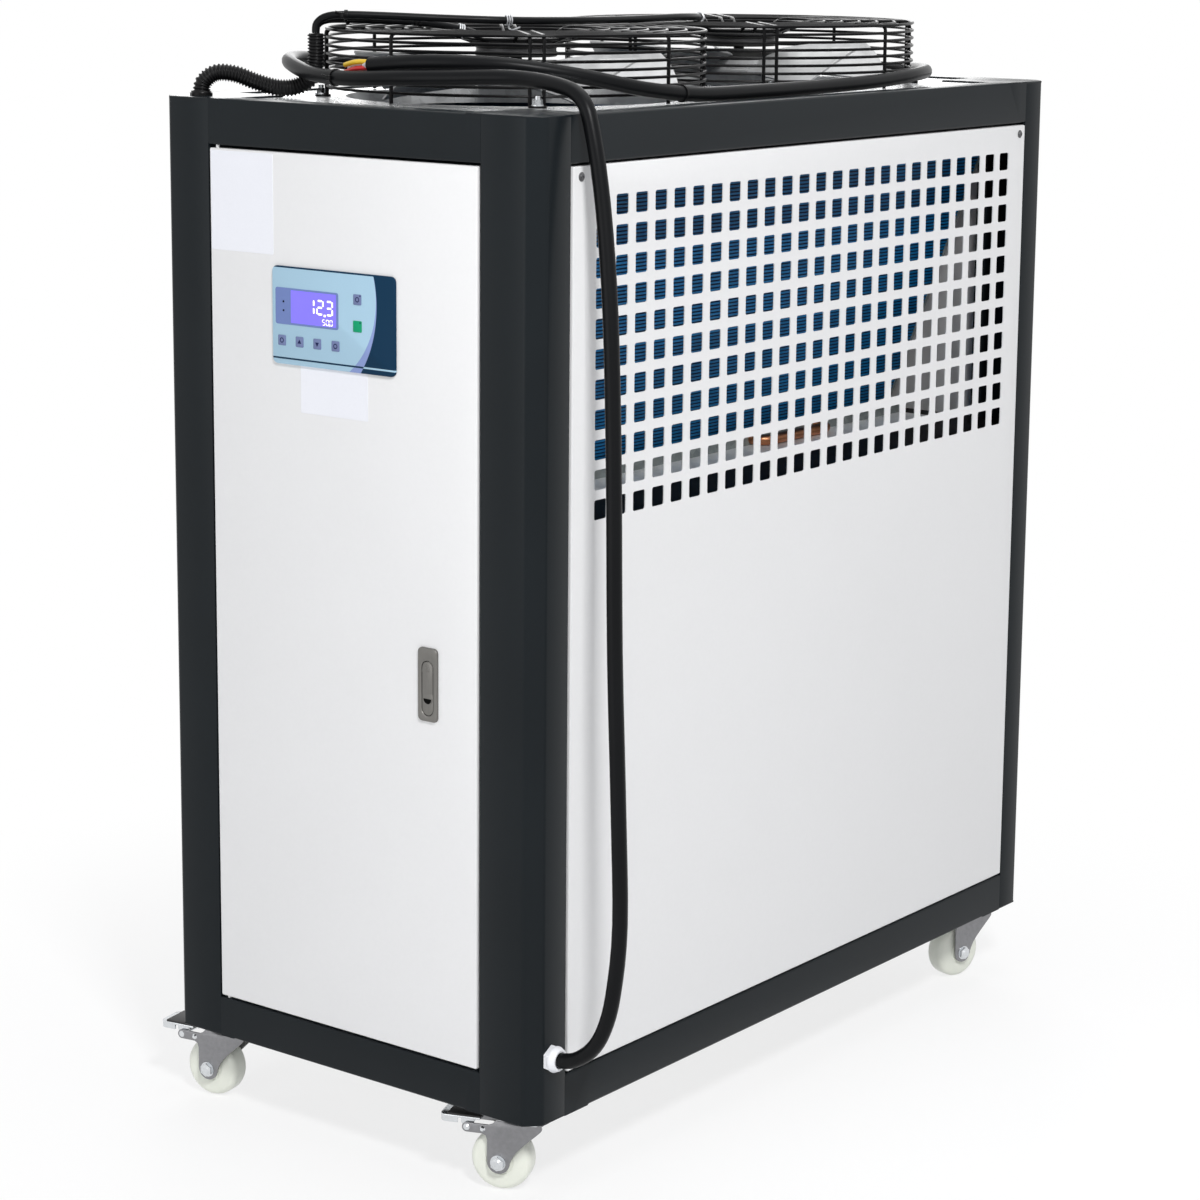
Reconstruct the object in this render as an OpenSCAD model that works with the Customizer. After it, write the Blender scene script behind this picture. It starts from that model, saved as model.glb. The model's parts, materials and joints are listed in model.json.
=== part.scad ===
// Air cooled water chiller on casters: a sheet steel cabinet with perforated sides,
// a V-shaped condenser coil under two top fans, and a power lead wound round the fan guards.
// Millimetres, +Z up, the door faces -Y, and z = 0 is the floor.

/* [Cabinet] */
// Width across the front
cab_w = 500; // [460:1:600]
// Depth from the front to the rear
cab_d = 955; // [920:1:1100]
// Height of the cabinet without casters and fans
cab_h = 1000; // [900:1:1200]
// Width of a corner post's face on the front and the rear
post_w = 70; // [60:1:85]
// Width of a corner post's face on the long sides
post_d = 50; // [42:1:65]
// Flat cut along each upright corner
chamfer = 15; // [8:1:20]
// Height of the top rails' faces
rail_top = 47; // [40:1:60]
// Height of the bottom rails' faces
rail_bottom = 44; // [38:1:60]
// Thickness of the frame's bent sheet
frame_t = 2; // [1.5:0.5:3]
// Depth of the rebate that the panels drop into
rebate = 14; // [12:1:18]
// Width of the lip behind the panels
lip = 12; // [8:1:16]
// Width of the level flange round the top and the bottom
flange = 26; // [22:1:32]
// Width of the corner plates that carry the casters
corner_w = 90; // [84:1:110]

/* [Panels] */
// Thickness of the panel sheet
panel_t = 1.2; // [0.8:0.1:2]
// How far the panels and the door stand out of the frame
proud = 1.5; // [0.5:0.5:3]
// Gap round a fixed panel
panel_gap = 2.5; // [1.5:0.5:4]
// Side of a square air hole
hole = 20; // [14:1:24]
// Spacing of the air holes along the side
hole_pitch_y = 31.6; // [28:0.2:36]
// Spacing of the air holes up the side
hole_pitch_z = 29.7; // [28:0.1:34]
// Air holes in a row
hole_columns = 25; // [10:1:25]
// Rows of air holes
hole_rows = 11; // [4:1:12]
// Panel edge above the top row's centres
hole_drop = 40; // [30:1:60]

/* [Door] */
// Gap round the door
door_gap = 3; // [2:0.5:4]
// Depth of the door's folded edges
door_depth = 10; // [9:0.5:12]
// Pivot line in from the door's left edge
pivot_in = 7; // [6:0.5:8]
// Pivot line behind the door's face
pivot_back = 5.5; // [5:0.5:6]
// Radius of the pivot pins
pivot_r = 2; // [1:0.5:2]
// Running clearance of pins and axles
running = 0.05; // [0.02:0.01:0.1]
// Width of the control panel
control_w = 164; // [120:1:200]
// Height of the control panel
control_h = 99; // [80:1:120]
// Control panel's left edge from the door's left edge
control_x = 88; // [60:1:120]
// Control panel's top edge below the door's top edge
control_drop = 113; // [90:1:160]
// Thickness of the control panel
control_t = 2.5; // [1.5:0.5:4]
// Width of the latch plate
latch_w = 25; // [22:1:32]
// Height of the latch plate
latch_h = 75; // [66:1:90]
// Latch plate's right edge in from the door's right edge
latch_in = 49; // [40:1:70]
// Latch plate's top edge below the door's top edge
latch_drop = 478; // [300:1:600]

/* [Coil] */
// Thickness of a coil slab, measured level
coil_t = 44; // [30:1:50]
// Gap between a coil slab's end and the nearest post
coil_end = 15.5; // [14:0.5:60]
// Deck under the coil, above the cabinet's base
deck_up = 594; // [560:1:680]
// Height of the coil tray's sides
tray_h = 22; // [18:1:26]
// Width of the tray's level ledges
tray_ledge = 40; // [20:1:60]

/* [Fans] */
// Distance between the two fan centres
fan_pitch = 405; // [403:1:440]
// Radius of a fan opening in the top plate
fan_open_r = 178; // [165:1:182]
// Tip clearance of the fan blades
tip_gap = 6; // [5:1:10]
// Depth of the collar under a fan opening
collar = 15; // [10:1:25]
// Radius of the guard at the middle of its wire
guard_r = 198; // [190:1:200]
// Height of the guard above the top plate
guard_h = 72; // [60:1:90]
// Guard ring wire
ring_wire = 4; // [3:0.5:5]
// Guard leg wire
leg_wire = 5; // [4:0.5:6]
// Rings round the guard's side
side_rings = 7; // [5:1:8]
// Rings across the guard's top
top_rings = 8; // [5:1:11]
// Radius of the fan motor
motor_r = 43; // [38:1:48]
// Fan blades
blades = 5; // [4:1:6]
// Pitch of the fan blades in degrees
blade_pitch = 28; // [20:1:34]

/* [Casters] */
// Height from the floor to the cabinet's base
caster_h = 88; // [84:1:110]
// Radius of a caster wheel
wheel_r = 32; // [28:1:34]
// Width of a caster wheel
wheel_w = 25; // [20:1:28]
// Wheel's distance behind its swivel line
trail = 24; // [18:1:30]
// Swivel line in from the cabinet's faces
caster_in = 46; // [42:1:54]
// Radius of the wheel axle
axle_r = 4; // [3:0.5:5]
// Thickness of the stamped forks
fork_t = 2.5; // [2:0.5:3]

/* [Water ports] */
// Outer radius of a threaded port
port_r = 16.6; // [13:0.1:20]
// Bore radius of a port
port_bore_r = 12; // [9:0.5:14]
// Length of a port outside the rear panel
port_len = 16; // [14:1:20]
// Distance between the two ports
port_pitch = 130; // [100:1:200]
// Height of the ports above the cabinet's base
port_up = 150; // [110:1:300]

/* [Leads] */
// Radius of the power lead
lead_r = 7.75; // [6:0.25:8]
// Radius of the fan leads
fan_lead_r = 4; // [3:0.5:4.5]
// Outer radius of the corrugated conduit
conduit_r = 9; // [7:0.5:10]

/* [Hidden] */
$fn = 48;

anthracite = [0.15, 0.165, 0.175];
panel_white = [0.88, 0.88, 0.89];
galvanised = [0.66, 0.68, 0.70];
coil_blue = [0.05, 0.36, 0.62];
copper = [0.72, 0.40, 0.24];
black = [0.06, 0.06, 0.07];
zinc = [0.56, 0.57, 0.58];
nylon = [0.88, 0.88, 0.80];
nickel = [0.42, 0.41, 0.39];
brass = [0.72, 0.60, 0.32];

// Small overlap that fuses touching pieces of one solid
fuse = 0.5;
// Seating gap between pieces that rest on each other and turn
seat = 0.3;

base_z = caster_h;
top_z = base_z + cab_h;
inner_x = cab_w / 2 - rebate - frame_t;
inner_y = cab_d / 2 - rebate - frame_t;
plate_t = 2;
plate_top = top_z - frame_t;

side_open_w = cab_d - 2 * post_d;
front_open_w = cab_w - 2 * post_w;
open_h = cab_h - rail_top - rail_bottom;
open_z = base_z + rail_bottom;

door_w = front_open_w - 2 * door_gap;
door_h = open_h - 2 * door_gap;
door_left = -door_w / 2;
door_bottom = open_z + door_gap;
door_top = door_bottom + door_h;
door_face = -cab_d / 2 - proud;
pivot_x = door_left + pivot_in;
pivot_y = door_face + pivot_back;
pivot_len = door_gap + frame_t;

fan_y = [-fan_pitch / 2, fan_pitch / 2];
blade_r = fan_open_r - tip_gap;
guard_top = plate_top + guard_h - ring_wire / 2;

// Sign of a corner: left or right, front or rear
left = -1;
right = 1;
front = -1;
rear = 1;

module at_corner(sx, sy)
    translate([sx * cab_w / 2, sy * cab_d / 2, base_z])
        mirror([sx > 0 ? 1 : 0, 0, 0])
            mirror([0, sy > 0 ? 1 : 0, 0])
                children();

// Bent sheet section of a corner post, with its two rebates and lips
module post_section() {
    bend = frame_t * (sqrt(2) - 1);
    polygon([[chamfer, 0], [0, chamfer], [frame_t, chamfer + bend], [chamfer + bend, frame_t]]);
    translate([chamfer, 0]) square([post_w - chamfer, frame_t]);
    translate([post_w - frame_t, 0]) square([frame_t, rebate + frame_t]);
    translate([post_w - frame_t, rebate]) square([lip + frame_t, frame_t]);
    translate([0, chamfer]) square([frame_t, post_d - chamfer]);
    translate([0, post_d - frame_t]) square([rebate + frame_t, frame_t]);
    translate([rebate, post_d - frame_t]) square([frame_t, lip + frame_t]);
}

module corner_outline()
    polygon([[chamfer, 0], [post_w, 0], [post_w, frame_t], [corner_w, frame_t],
        [corner_w, corner_w], [frame_t, corner_w], [frame_t, post_d],
        [0, post_d], [0, chamfer]]);

module corner_post(sx, sy)
    color(anthracite)
        at_corner(sx, sy) {
            linear_extrude(cab_h) post_section();
            linear_extrude(frame_t) corner_outline();
            translate([0, 0, cab_h - frame_t]) linear_extrude(frame_t) corner_outline();
        }

// A rail along X between two posts: its face at y = 0 and its flange at z = 0
module rail(length, height, post) {
    flange_len = length - 2 * (corner_w - post);
    lip_len = length - 2 * lip;
    translate([-length / 2, 0, 0]) cube([length, frame_t, height]);
    translate([-flange_len / 2, 0, 0]) cube([flange_len, flange, frame_t]);
    translate([-length / 2, 0, height - frame_t]) cube([length, rebate, frame_t]);
    translate([-lip_len / 2, rebate - fuse, height - frame_t])
        cube([lip_len, frame_t + fuse, frame_t]);
    translate([-lip_len / 2, rebate, height - frame_t]) cube([lip_len, frame_t, lip + frame_t]);
}

module rail_ring(height) {
    for (turn = [0, 180]) {
        rotate(turn) translate([0, -cab_d / 2, 0]) rail(front_open_w, height, post_w);
        rotate(turn + 90) translate([0, -cab_w / 2, 0]) rail(side_open_w, height, post_d);
    }
}

module pivot_bores() {
    for (z = [door_top + door_gap + frame_t / 2, door_bottom - door_gap - frame_t / 2])
        translate([pivot_x, pivot_y, z])
            cylinder(r = pivot_r + running, h = frame_t + 2 * fuse, center = true);
}

module top_rails()
    color(anthracite)
        difference() {
            translate([0, 0, top_z]) mirror([0, 0, 1]) rail_ring(rail_top);
            pivot_bores();
        }

module bottom_rails()
    color(anthracite)
        difference() {
            translate([0, 0, base_z]) rail_ring(rail_bottom);
            pivot_bores();
        }

module base_pan()
    color(galvanised)
        translate([-inner_x, -inner_y, base_z + frame_t])
            cube([2 * inner_x, 2 * inner_y, plate_t]);

module top_plate()
    color(galvanised) {
        difference() {
            translate([-inner_x, -inner_y, plate_top - plate_t])
                cube([2 * inner_x, 2 * inner_y, plate_t]);
            for (y = fan_y)
                translate([0, y, plate_top - plate_t / 2])
                    cylinder(r = fan_open_r, h = 2 * plate_t, center = true, $fn = 96);
        }
        for (y = fan_y)
            translate([0, y, plate_top - plate_t - collar])
                difference() {
                    cylinder(r = fan_open_r + plate_t, h = collar + fuse, $fn = 96);
                    translate([0, 0, -1]) cylinder(r = fan_open_r, h = collar + 4, $fn = 96);
                }
    }

// Folded edges of a pan, open at the front and the back
module pan_edges(w, h, depth)
    difference() {
        translate([-w / 2, 0, 0]) cube([w, depth, h]);
        translate([-w / 2 + panel_t, -1, panel_t]) cube([w - 2 * panel_t, depth + 2, h - 2 * panel_t]);
    }

// A plain pan: its face at y = 0, its folded edges run to y = depth
module plain_pan(w, h, depth)
    difference() {
        translate([-w / 2, 0, 0]) cube([w, depth, h]);
        translate([-w / 2 + panel_t, panel_t, panel_t])
            cube([w - 2 * panel_t, depth, h - 2 * panel_t]);
    }

module perforated_pan(w, h, depth) {
    row_span = (hole_columns - 1) * hole_pitch_y;
    translate([0, panel_t, 0]) rotate([90, 0, 0]) linear_extrude(panel_t)
        difference() {
            translate([-w / 2, 0]) square([w, h]);
            for (i = [0 : hole_columns - 1], j = [0 : hole_rows - 1])
                translate([i * hole_pitch_y - row_span / 2, h - hole_drop - j * hole_pitch_z])
                    square(hole, center = true);
        }
    pan_edges(w, h, depth);
}

side_panel_w = side_open_w - 2 * panel_gap;
panel_h = open_h - 2 * panel_gap;
panel_depth = rebate + proud;

module side_panel(turn)
    color(panel_white)
        rotate(turn)
            translate([0, -cab_w / 2 - proud, open_z + panel_gap])
                perforated_pan(side_panel_w, panel_h, panel_depth);

module rear_panel()
    color(panel_white)
        difference() {
            rotate(180)
                translate([0, -cab_d / 2 - proud, open_z + panel_gap])
                    plain_pan(front_open_w - 2 * panel_gap, panel_h, panel_depth);
            at_ports() translate([0, -rebate, 0]) rotate([-90, 0, 0])
                cylinder(r = port_r + seat, h = 2 * rebate);
        }

// A plain sheet behind the door that closes the air path in front of the coil
module inner_front_plate()
    color(galvanised)
        translate([-inner_x, -cab_d / 2 + post_d, base_z + frame_t + plate_t])
            cube([2 * inner_x, plate_t, cab_h - 2 * frame_t - 2 * plate_t]);

latch_left = door_left + door_w - latch_in - latch_w;
latch_top = door_top - latch_drop;
latch_mid_x = latch_left + latch_w / 2;
latch_mid_z = latch_top - latch_h / 2;
latch_plate_t = 2.5;
latch_round = 4;
latch_wall = 2;
latch_body_w = latch_w - 6;
latch_body_h = latch_h - 8;
latch_depth = 18;
// Paddle: its gap in the body, its pivot below the body's top and its finger hole
handle_gap = 0.8;
handle_t = 4;
handle_pivot = 20;
handle_pin_r = 2;
finger_r = 4;
finger_up = 9;

module door_panel()
    color(panel_white) {
        difference() {
            translate([0, door_face, door_bottom]) plain_pan(door_w, door_h, door_depth);
            translate([latch_mid_x, door_face, latch_mid_z])
                cube([latch_body_w, 4 * panel_t, latch_body_h], center = true);
        }
        for (end = [0, 1])
            translate([pivot_x, pivot_y, end == 1 ? door_top - panel_t : door_bottom - pivot_len])
                cylinder(r = pivot_r, h = pivot_len + panel_t);
    }

// A flat plate in the XZ plane with round corners, its back at y = 0
module round_plate(w, h, t, r)
    rotate([90, 0, 0])
        linear_extrude(t) {
            translate([-w / 2 + r, -h / 2]) square([w - 2 * r, h]);
            translate([-w / 2, -h / 2 + r]) square([w, h - 2 * r]);
            for (x = [-1, 1], z = [-1, 1])
                translate([x * (w / 2 - r), z * (h / 2 - r)]) circle(r);
        }

control_mid_x = door_left + control_x + control_w / 2;
control_mid_z = door_top - control_drop - control_h / 2;
control_round = 6;
// Display window, its middle measured from the panel's middle
display_w = 85;
display_h = 37;
display_x = -34.9;
display_z = 9.4;
display_t = 0.45;
// Keys: four in a row under the display and two beside it
key_w = 10.5;
key_t = 0.5;
key_round = 1;
key_first_x = -69;
key_pitch = 24.2;
key_row_z = -25.5;
key_side_x = 33;
key_side_z = [23.5, -3.2];

module control_panel()
    color([0.62, 0.72, 0.86])
        translate([control_mid_x, door_face, control_mid_z]) {
            round_plate(control_w, control_h, control_t, control_round);
            translate([display_x, fuse - control_t, display_z])
                round_plate(display_w, display_h, display_t + fuse, key_round);
            for (i = [0 : 3])
                translate([key_first_x + i * key_pitch, fuse - control_t, key_row_z])
                    round_plate(key_w, key_w, key_t + fuse, key_round);
            for (z = key_side_z)
                translate([key_side_x, fuse - control_t, z])
                    round_plate(key_w, key_w, key_t + fuse, key_round);
        }

module latch_body()
    color(nickel)
        translate([latch_mid_x, door_face, latch_mid_z])
            difference() {
                union() {
                    round_plate(latch_w, latch_h, latch_plate_t, latch_round);
                    translate([-latch_body_w / 2 + seat, -fuse, -latch_body_h / 2 + seat])
                        cube([latch_body_w - 2 * seat, latch_depth, latch_body_h - 2 * seat]);
                }
                translate([-latch_body_w / 2 + latch_wall, -latch_plate_t - 1,
                        -latch_body_h / 2 + latch_wall])
                    cube([latch_body_w - 2 * latch_wall, latch_depth - 1,
                        latch_body_h - 2 * latch_wall]);
                translate([0, 0, latch_body_h / 2 - handle_pivot]) rotate([0, 90, 0])
                    cylinder(r = handle_pin_r, h = latch_body_w - latch_wall, center = true);
            }

module latch_handle() {
    w = latch_body_w - 2 * latch_wall - 2 * handle_gap;
    h = latch_body_h - 2 * latch_wall - 2 * handle_gap;
    color(nickel)
        translate([latch_mid_x, door_face, latch_mid_z]) {
            difference() {
                translate([0, handle_t - latch_plate_t, 0]) round_plate(w, h, handle_t, key_round);
                translate([0, 0, -h / 2 + finger_up]) rotate([90, 0, 0])
                    cylinder(r = finger_r, h = 4 * handle_t, center = true);
            }
            translate([0, 0, latch_body_h / 2 - handle_pivot]) rotate([0, 90, 0])
                cylinder(r = handle_pin_r - running, h = latch_body_w - latch_wall - 2 * seat,
                    center = true);
        }
}

coil_foot = base_z + deck_up + 2 * plate_t;
coil_head = plate_top - plate_t;
coil_len = side_open_w - 2 * coil_end;
// Inner faces of the slabs, out from the middle, at the head and at the foot;
// they lean by less than half their height, so the head clears the fan collars
coil_clear = 2;
coil_top_in = fan_open_r + plate_t + coil_clear + collar / 2;
coil_foot_in = 34;

module coil(side)
    color(coil_blue)
        mirror([side < 0 ? 1 : 0, 0, 0])
            translate([0, coil_len / 2, 0]) rotate([90, 0, 0]) linear_extrude(coil_len)
                polygon([[coil_foot_in, coil_foot], [coil_foot_in + coil_t, coil_foot],
                    [coil_top_in + coil_t, coil_head], [coil_top_in, coil_head]]);

// Tray's margin round the slabs' feet
tray_margin = 16;
tray_w = 2 * (coil_foot_in + coil_t + tray_margin);
tray_len = coil_len + tray_margin;

module coil_tray()
    color(galvanised)
        translate([0, -tray_len / 2, base_z + deck_up + plate_t]) {
            translate([-tray_w / 2 - tray_ledge, 0, 0]) cube([tray_w + 2 * tray_ledge, tray_len, plate_t]);
            for (x = [-tray_w / 2, tray_w / 2 - plate_t])
                translate([x, 0, 0]) cube([plate_t, tray_len, tray_h]);
        }

module coil_deck()
    color(black)
        translate([-inner_x, -cab_d / 2 + post_d + plate_t, base_z + deck_up])
            cube([2 * inner_x, cab_d / 2 - post_d - plate_t + inner_y, plate_t]);

header_r = 9.5;
// Header's foot above the slab's foot, and what it stops short of the slab's length
header_up = 22;
header_short = 60;

// Upright copper headers against the rear end of each coil slab, leaning with the slab
module copper_headers() {
    lean = atan2(coil_top_in - coil_foot_in, coil_head - coil_foot);
    reach = (coil_head - coil_foot) / cos(lean);
    color(copper)
        for (side = [-1, 1])
            mirror([side < 0 ? 1 : 0, 0, 0])
                translate([coil_foot_in + coil_t / 2, coil_len / 2 + header_r + seat, coil_foot])
                    rotate([0, lean, 0])
                        translate([0, 0, header_up]) cylinder(r = header_r, h = reach - header_short);
}

// Side of a square bar as stiff as a round wire
square_side = 0.88;

module ring(radius)
    rotate_extrude($fn = 96) translate([radius, 0]) square(square_side * ring_wire, center = true);

// Lowest side ring above the top plate
ring_low = 11;
mount_r = motor_r + 6;
mount_t = 4;
// Middle of the guard's top, which dips to the motor mount
dip_r = 84;
dip = 12;
mount_z = guard_top - dip;
// Legs of a double leg, either side of its middle
leg_pair = 7;
foot_reach = 12;
foot_w = 18;
foot_t = 2.5;

// Height of the guard's top at a radius
function top_at(r) = guard_top - dip * max(0, dip_r - r) / (dip_r - mount_r);

// A wire leg of the guard: up the side, in across the top and down to the motor mount
module guard_leg(offset_y) {
    side = square_side * leg_wire;
    slope = atan2(dip, dip_r - mount_r);
    run = norm([dip, dip_r - mount_r]) + leg_wire;
    translate([guard_r - side / 2, offset_y - side / 2, plate_top])
        cube([side, side, guard_top - plate_top + side / 2]);
    translate([dip_r - side / 2, offset_y - side / 2, guard_top - side / 2])
        cube([guard_r - dip_r + side / 2, side, side]);
    translate([dip_r, offset_y - side / 2, guard_top]) rotate([0, 180 - slope, 0])
        translate([0, 0, -side / 2]) cube([run, side, side]);
}

module fan_guard(y) {
    side_step = (guard_top - plate_top - ring_low) / side_rings;
    top_step = (guard_r - mount_r - 2 * ring_wire) / (top_rings - 1);
    color(black)
        translate([0, y, 0]) {
            for (i = [0 : side_rings - 1])
                translate([0, 0, plate_top + ring_low + i * side_step]) ring(guard_r);
            for (i = [0 : top_rings - 1])
                translate([0, 0, top_at(guard_r - i * top_step)]) ring(guard_r - i * top_step);
            for (turn = [0 : 90 : 270]) rotate(turn) guard_leg(0);
            for (turn = [45 : 90 : 315]) rotate(turn) {
                for (dy = [-leg_pair, leg_pair]) guard_leg(dy);
                translate([guard_r - foot_reach / 3, -foot_w / 2, plate_top])
                    cube([foot_reach * 4 / 3, foot_w, foot_t]);
            }
            translate([0, 0, mount_z - mount_t / 2]) cylinder(r = mount_r, h = mount_t);
        }
}

stator_h = 14;
rotor_gap = 5;
shaft_r = 6;
bell_h = 26;
stator_top = mount_z - mount_t / 2;
bell_top = stator_top - stator_h - rotor_gap;
bell_foot = bell_top - bell_h;

module fan_motor(y)
    color(black)
        translate([0, y, 0]) {
            translate([0, 0, stator_top - stator_h]) cylinder(r = motor_r, h = stator_h);
            translate([0, 0, bell_foot + bell_floor + seat]) cylinder(r = shaft_r, h = bell_h + rotor_gap);
        }

// Blade sheet, the radius of its hollow, and half its width at the hub and at the tip
blade_t = 2.5;
blade_hollow = 150;
blade_root = 22;
blade_tip = 52;
bell_floor = 5;

// One blade along X: a strip of a wide tube, tapered, pitched and trimmed to the fan's rim
module fan_blade() {
    span = 2 * blade_tip;
    reach = blade_r + blade_tip;
    intersection() {
        rotate([blade_pitch, 0, 0]) intersection() {
            translate([0, 0, -blade_hollow]) rotate([0, 90, 0]) difference() {
                cylinder(r = blade_hollow + blade_t / 2, h = reach, $fn = 96);
                translate([0, 0, -1]) cylinder(r = blade_hollow - blade_t / 2, h = reach + 2, $fn = 96);
            }
            translate([0, 0, -span / 2]) linear_extrude(span)
                polygon([[motor_r / 2, -blade_root], [reach, -blade_tip],
                    [reach, blade_tip], [motor_r / 2, blade_root]]);
        }
        translate([0, 0, -span]) difference() {
            cylinder(r = blade_r, h = 2 * span, $fn = 96);
            translate([0, 0, -1]) cylinder(r = motor_r - 1, h = 2 * span + 2);
        }
    }
}

module fan_rotor(y)
    color([0.2, 0.2, 0.21])
        translate([0, y, 0]) {
            difference() {
                translate([0, 0, bell_foot]) cylinder(r = motor_r, h = bell_h);
                translate([0, 0, bell_foot + bell_floor]) cylinder(r = shaft_r + running, h = bell_h);
            }
            for (i = [0 : blades - 1])
                translate([0, 0, bell_foot + bell_h / 2]) rotate(90 + (i + 0.5) * 360 / blades) fan_blade();
        }

// Caster top plate and the spacing of its bolt holes
plate_x = 72;
plate_y = 62;
bolt_x = 54;
bolt_y = 44;
bolt_r = 4;
race_r = 21;
race_h = 6.5;
// King pin and its riveted head under the crown
king_r = 5;
king_head_r = 8;
king_head_t = 5;
caster_plate_t = 3;
crown_top = caster_h - caster_plate_t - race_h - seat;
crown_t = 3;

function caster_spot(sx, sy) = [sx * (cab_w / 2 - caster_in), sy * (cab_d / 2 - caster_in), 0];

module caster_plates()
    color(zinc)
        for (sx = [left, right], sy = [front, rear])
            translate(caster_spot(sx, sy)) {
                difference() {
                    translate([-plate_x / 2, -plate_y / 2, caster_h - caster_plate_t])
                        cube([plate_x, plate_y, caster_plate_t]);
                    for (x = [-1, 1], y = [-1, 1])
                        translate([x * bolt_x / 2, y * bolt_y / 2, caster_h - 2 * caster_plate_t])
                            cylinder(r = bolt_r, h = 3 * caster_plate_t);
                }
                translate([0, 0, crown_top + seat]) cylinder(r = race_r, h = race_h + fuse);
                translate([0, 0, crown_top - crown_t - king_head_t])
                    cylinder(r = king_r, h = crown_t + king_head_t + race_h);
                translate([0, 0, crown_top - crown_t - king_head_t - seat])
                    cylinder(r = king_head_r, h = king_head_t);
            }

leg_in = wheel_w / 2 + 4;
// Fork crown: its round middle, and how far it runs behind and ahead of the swivel line
crown_r = 26;
crown_back = 22;
crown_ahead = 26;
// Depth of the crown's turned edge, and how far a leg's rear flank is hollowed
crown_edge = 8;
flank_hollow = 4;
// Round boss of a fork leg at the axle, and the axle's hexagon heads
boss_r = 12;
axle_head_r = 7.5;
axle_head_t = 5;
// Brake bracket: its pin, past the axle and below the crown's top, and its round end
pedal_x = trail + 34;
pedal_z = crown_top - 12;
pedal_pin_r = 2.5;
bracket_r = 5;

// Side outline of a fork in its XZ plane: crown edge, legs, axle boss and brake bracket
module fork_side(braked) {
    mid = [(trail - boss_r - crown_back) / 2 + flank_hollow, (crown_top - crown_edge + wheel_r) / 2];
    difference() {
        union() {
            polygon([[-crown_back, crown_top], [-crown_back, crown_top - crown_edge], mid,
                [trail - boss_r, wheel_r], [trail + boss_r, wheel_r],
                [trail + boss_r, pedal_z], [crown_ahead, crown_top]]);
            translate([trail, wheel_r]) circle(boss_r);
            if (braked) {
                translate([trail, pedal_z - bracket_r]) square([pedal_x - trail, 2 * bracket_r]);
                translate([pedal_x, pedal_z]) circle(bracket_r);
            }
        }
        if (braked) translate([pedal_x, pedal_z]) circle(pedal_pin_r + running);
    }
}

module fork(sx, sy, heading, braked)
    color(zinc)
        translate(caster_spot(sx, sy))
            rotate(heading) {
                difference() {
                    union() {
                        translate([0, 0, crown_top - crown_t]) cylinder(r = crown_r, h = crown_t);
                        translate([-crown_back, -leg_in - fork_t, crown_top - crown_t])
                            cube([crown_back + crown_ahead, 2 * (leg_in + fork_t), crown_t]);
                    }
                    translate([0, 0, crown_top - crown_t - 1])
                        cylinder(r = king_r + running, h = crown_t + 2);
                }
                for (side = [-1, 1])
                    translate([0, side > 0 ? leg_in + fork_t : -leg_in, 0]) rotate([90, 0, 0])
                        linear_extrude(fork_t) fork_side(braked);
                translate([trail, 0, wheel_r]) rotate([90, 0, 0]) {
                    cylinder(r = axle_r, h = 2 * (leg_in + fork_t) + 2, center = true);
                    for (side = [-1, 1])
                        translate([0, 0, side * (leg_in + fork_t + axle_head_t / 2)])
                            cylinder(r = axle_head_r, h = axle_head_t, center = true, $fn = 6);
                }
            }

hub_r = 9;
// Bulge of a wheel's sides at the hub, and the round of its tread
bulge = 1.5;
tread_round = 7;

// Half of a wheel's section, on one side of its middle: hub, side and round
wheel_half = concat([[axle_r + running, leg_in - seat], [hub_r, leg_in - seat], [hub_r, wheel_w / 2 + bulge]],
    [for (turn = [0 : 15 : 90])
        [wheel_r - tread_round * (1 - sin(turn)), wheel_w / 2 - tread_round * (1 - cos(turn))]]);
wheel_section = concat(wheel_half,
    [for (i = [len(wheel_half) - 1 : -1 : 0]) [wheel_half[i][0], -wheel_half[i][1]]]);

module wheel(sx, sy, heading)
    color(nylon)
        translate(caster_spot(sx, sy))
            rotate(heading) translate([trail, 0, wheel_r]) rotate([90, 0, 0])
                rotate_extrude($fn = 96) polygon(wheel_section);

// Pedal's tread past its pin and behind it, its width, its sheet and its height above the pin
pedal_len = 30;
pedal_tail = 14;
pedal_w = 34;
pedal_t = 2.5;
pedal_up = 8;
pedal_corner = 8;
// Turned-down tip, rubber pad and the cheeks that hang on the pin
tip_drop = 5;
tip_w = 18;
pad_t = 2;
pad_edge = 2;
cheek = 7;

module pedal(sx, sy, heading)
    color(zinc)
        translate(caster_spot(sx, sy))
            rotate(heading) translate([pedal_x, 0, pedal_z]) {
                rotate([90, 0, 0])
                    cylinder(r = pedal_pin_r, h = 2 * (leg_in + fork_t), center = true);
                translate([0, 0, pedal_up]) {
                    linear_extrude(pedal_t)
                        polygon([[-pedal_tail, -pedal_w / 2], [pedal_len - pedal_corner, -pedal_w / 2],
                            [pedal_len, -pedal_w / 2 + pedal_corner], [pedal_len, pedal_w / 2 - pedal_corner],
                            [pedal_len - pedal_corner, pedal_w / 2], [-pedal_tail, pedal_w / 2]]);
                    translate([pedal_len - pedal_t, -tip_w / 2, -tip_drop])
                        cube([pedal_t, tip_w, tip_drop + fuse]);
                    translate([-pedal_tail, -pedal_w / 2 + pad_edge, pedal_t - fuse])
                        cube([pedal_tail + pedal_len - pedal_corner, pedal_w - 2 * pad_edge, pad_t + fuse]);
                }
                for (side = [-1, 1])
                    translate([-cheek, side * (leg_in - 1 - pedal_t / 2) - pedal_t / 2, -pedal_pin_r])
                        cube([2 * cheek, pedal_t, pedal_up + pedal_pin_r + fuse]);
            }

// Swivel headings at rest
heading_front_left = 190;
heading_front_right = 201;
heading_rear = 254;

port_spots = [-port_pitch / 2, port_pitch / 2];

module at_ports()
    for (x = port_spots) translate([x, cab_d / 2 + proud, base_z + port_up]) children();

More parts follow.
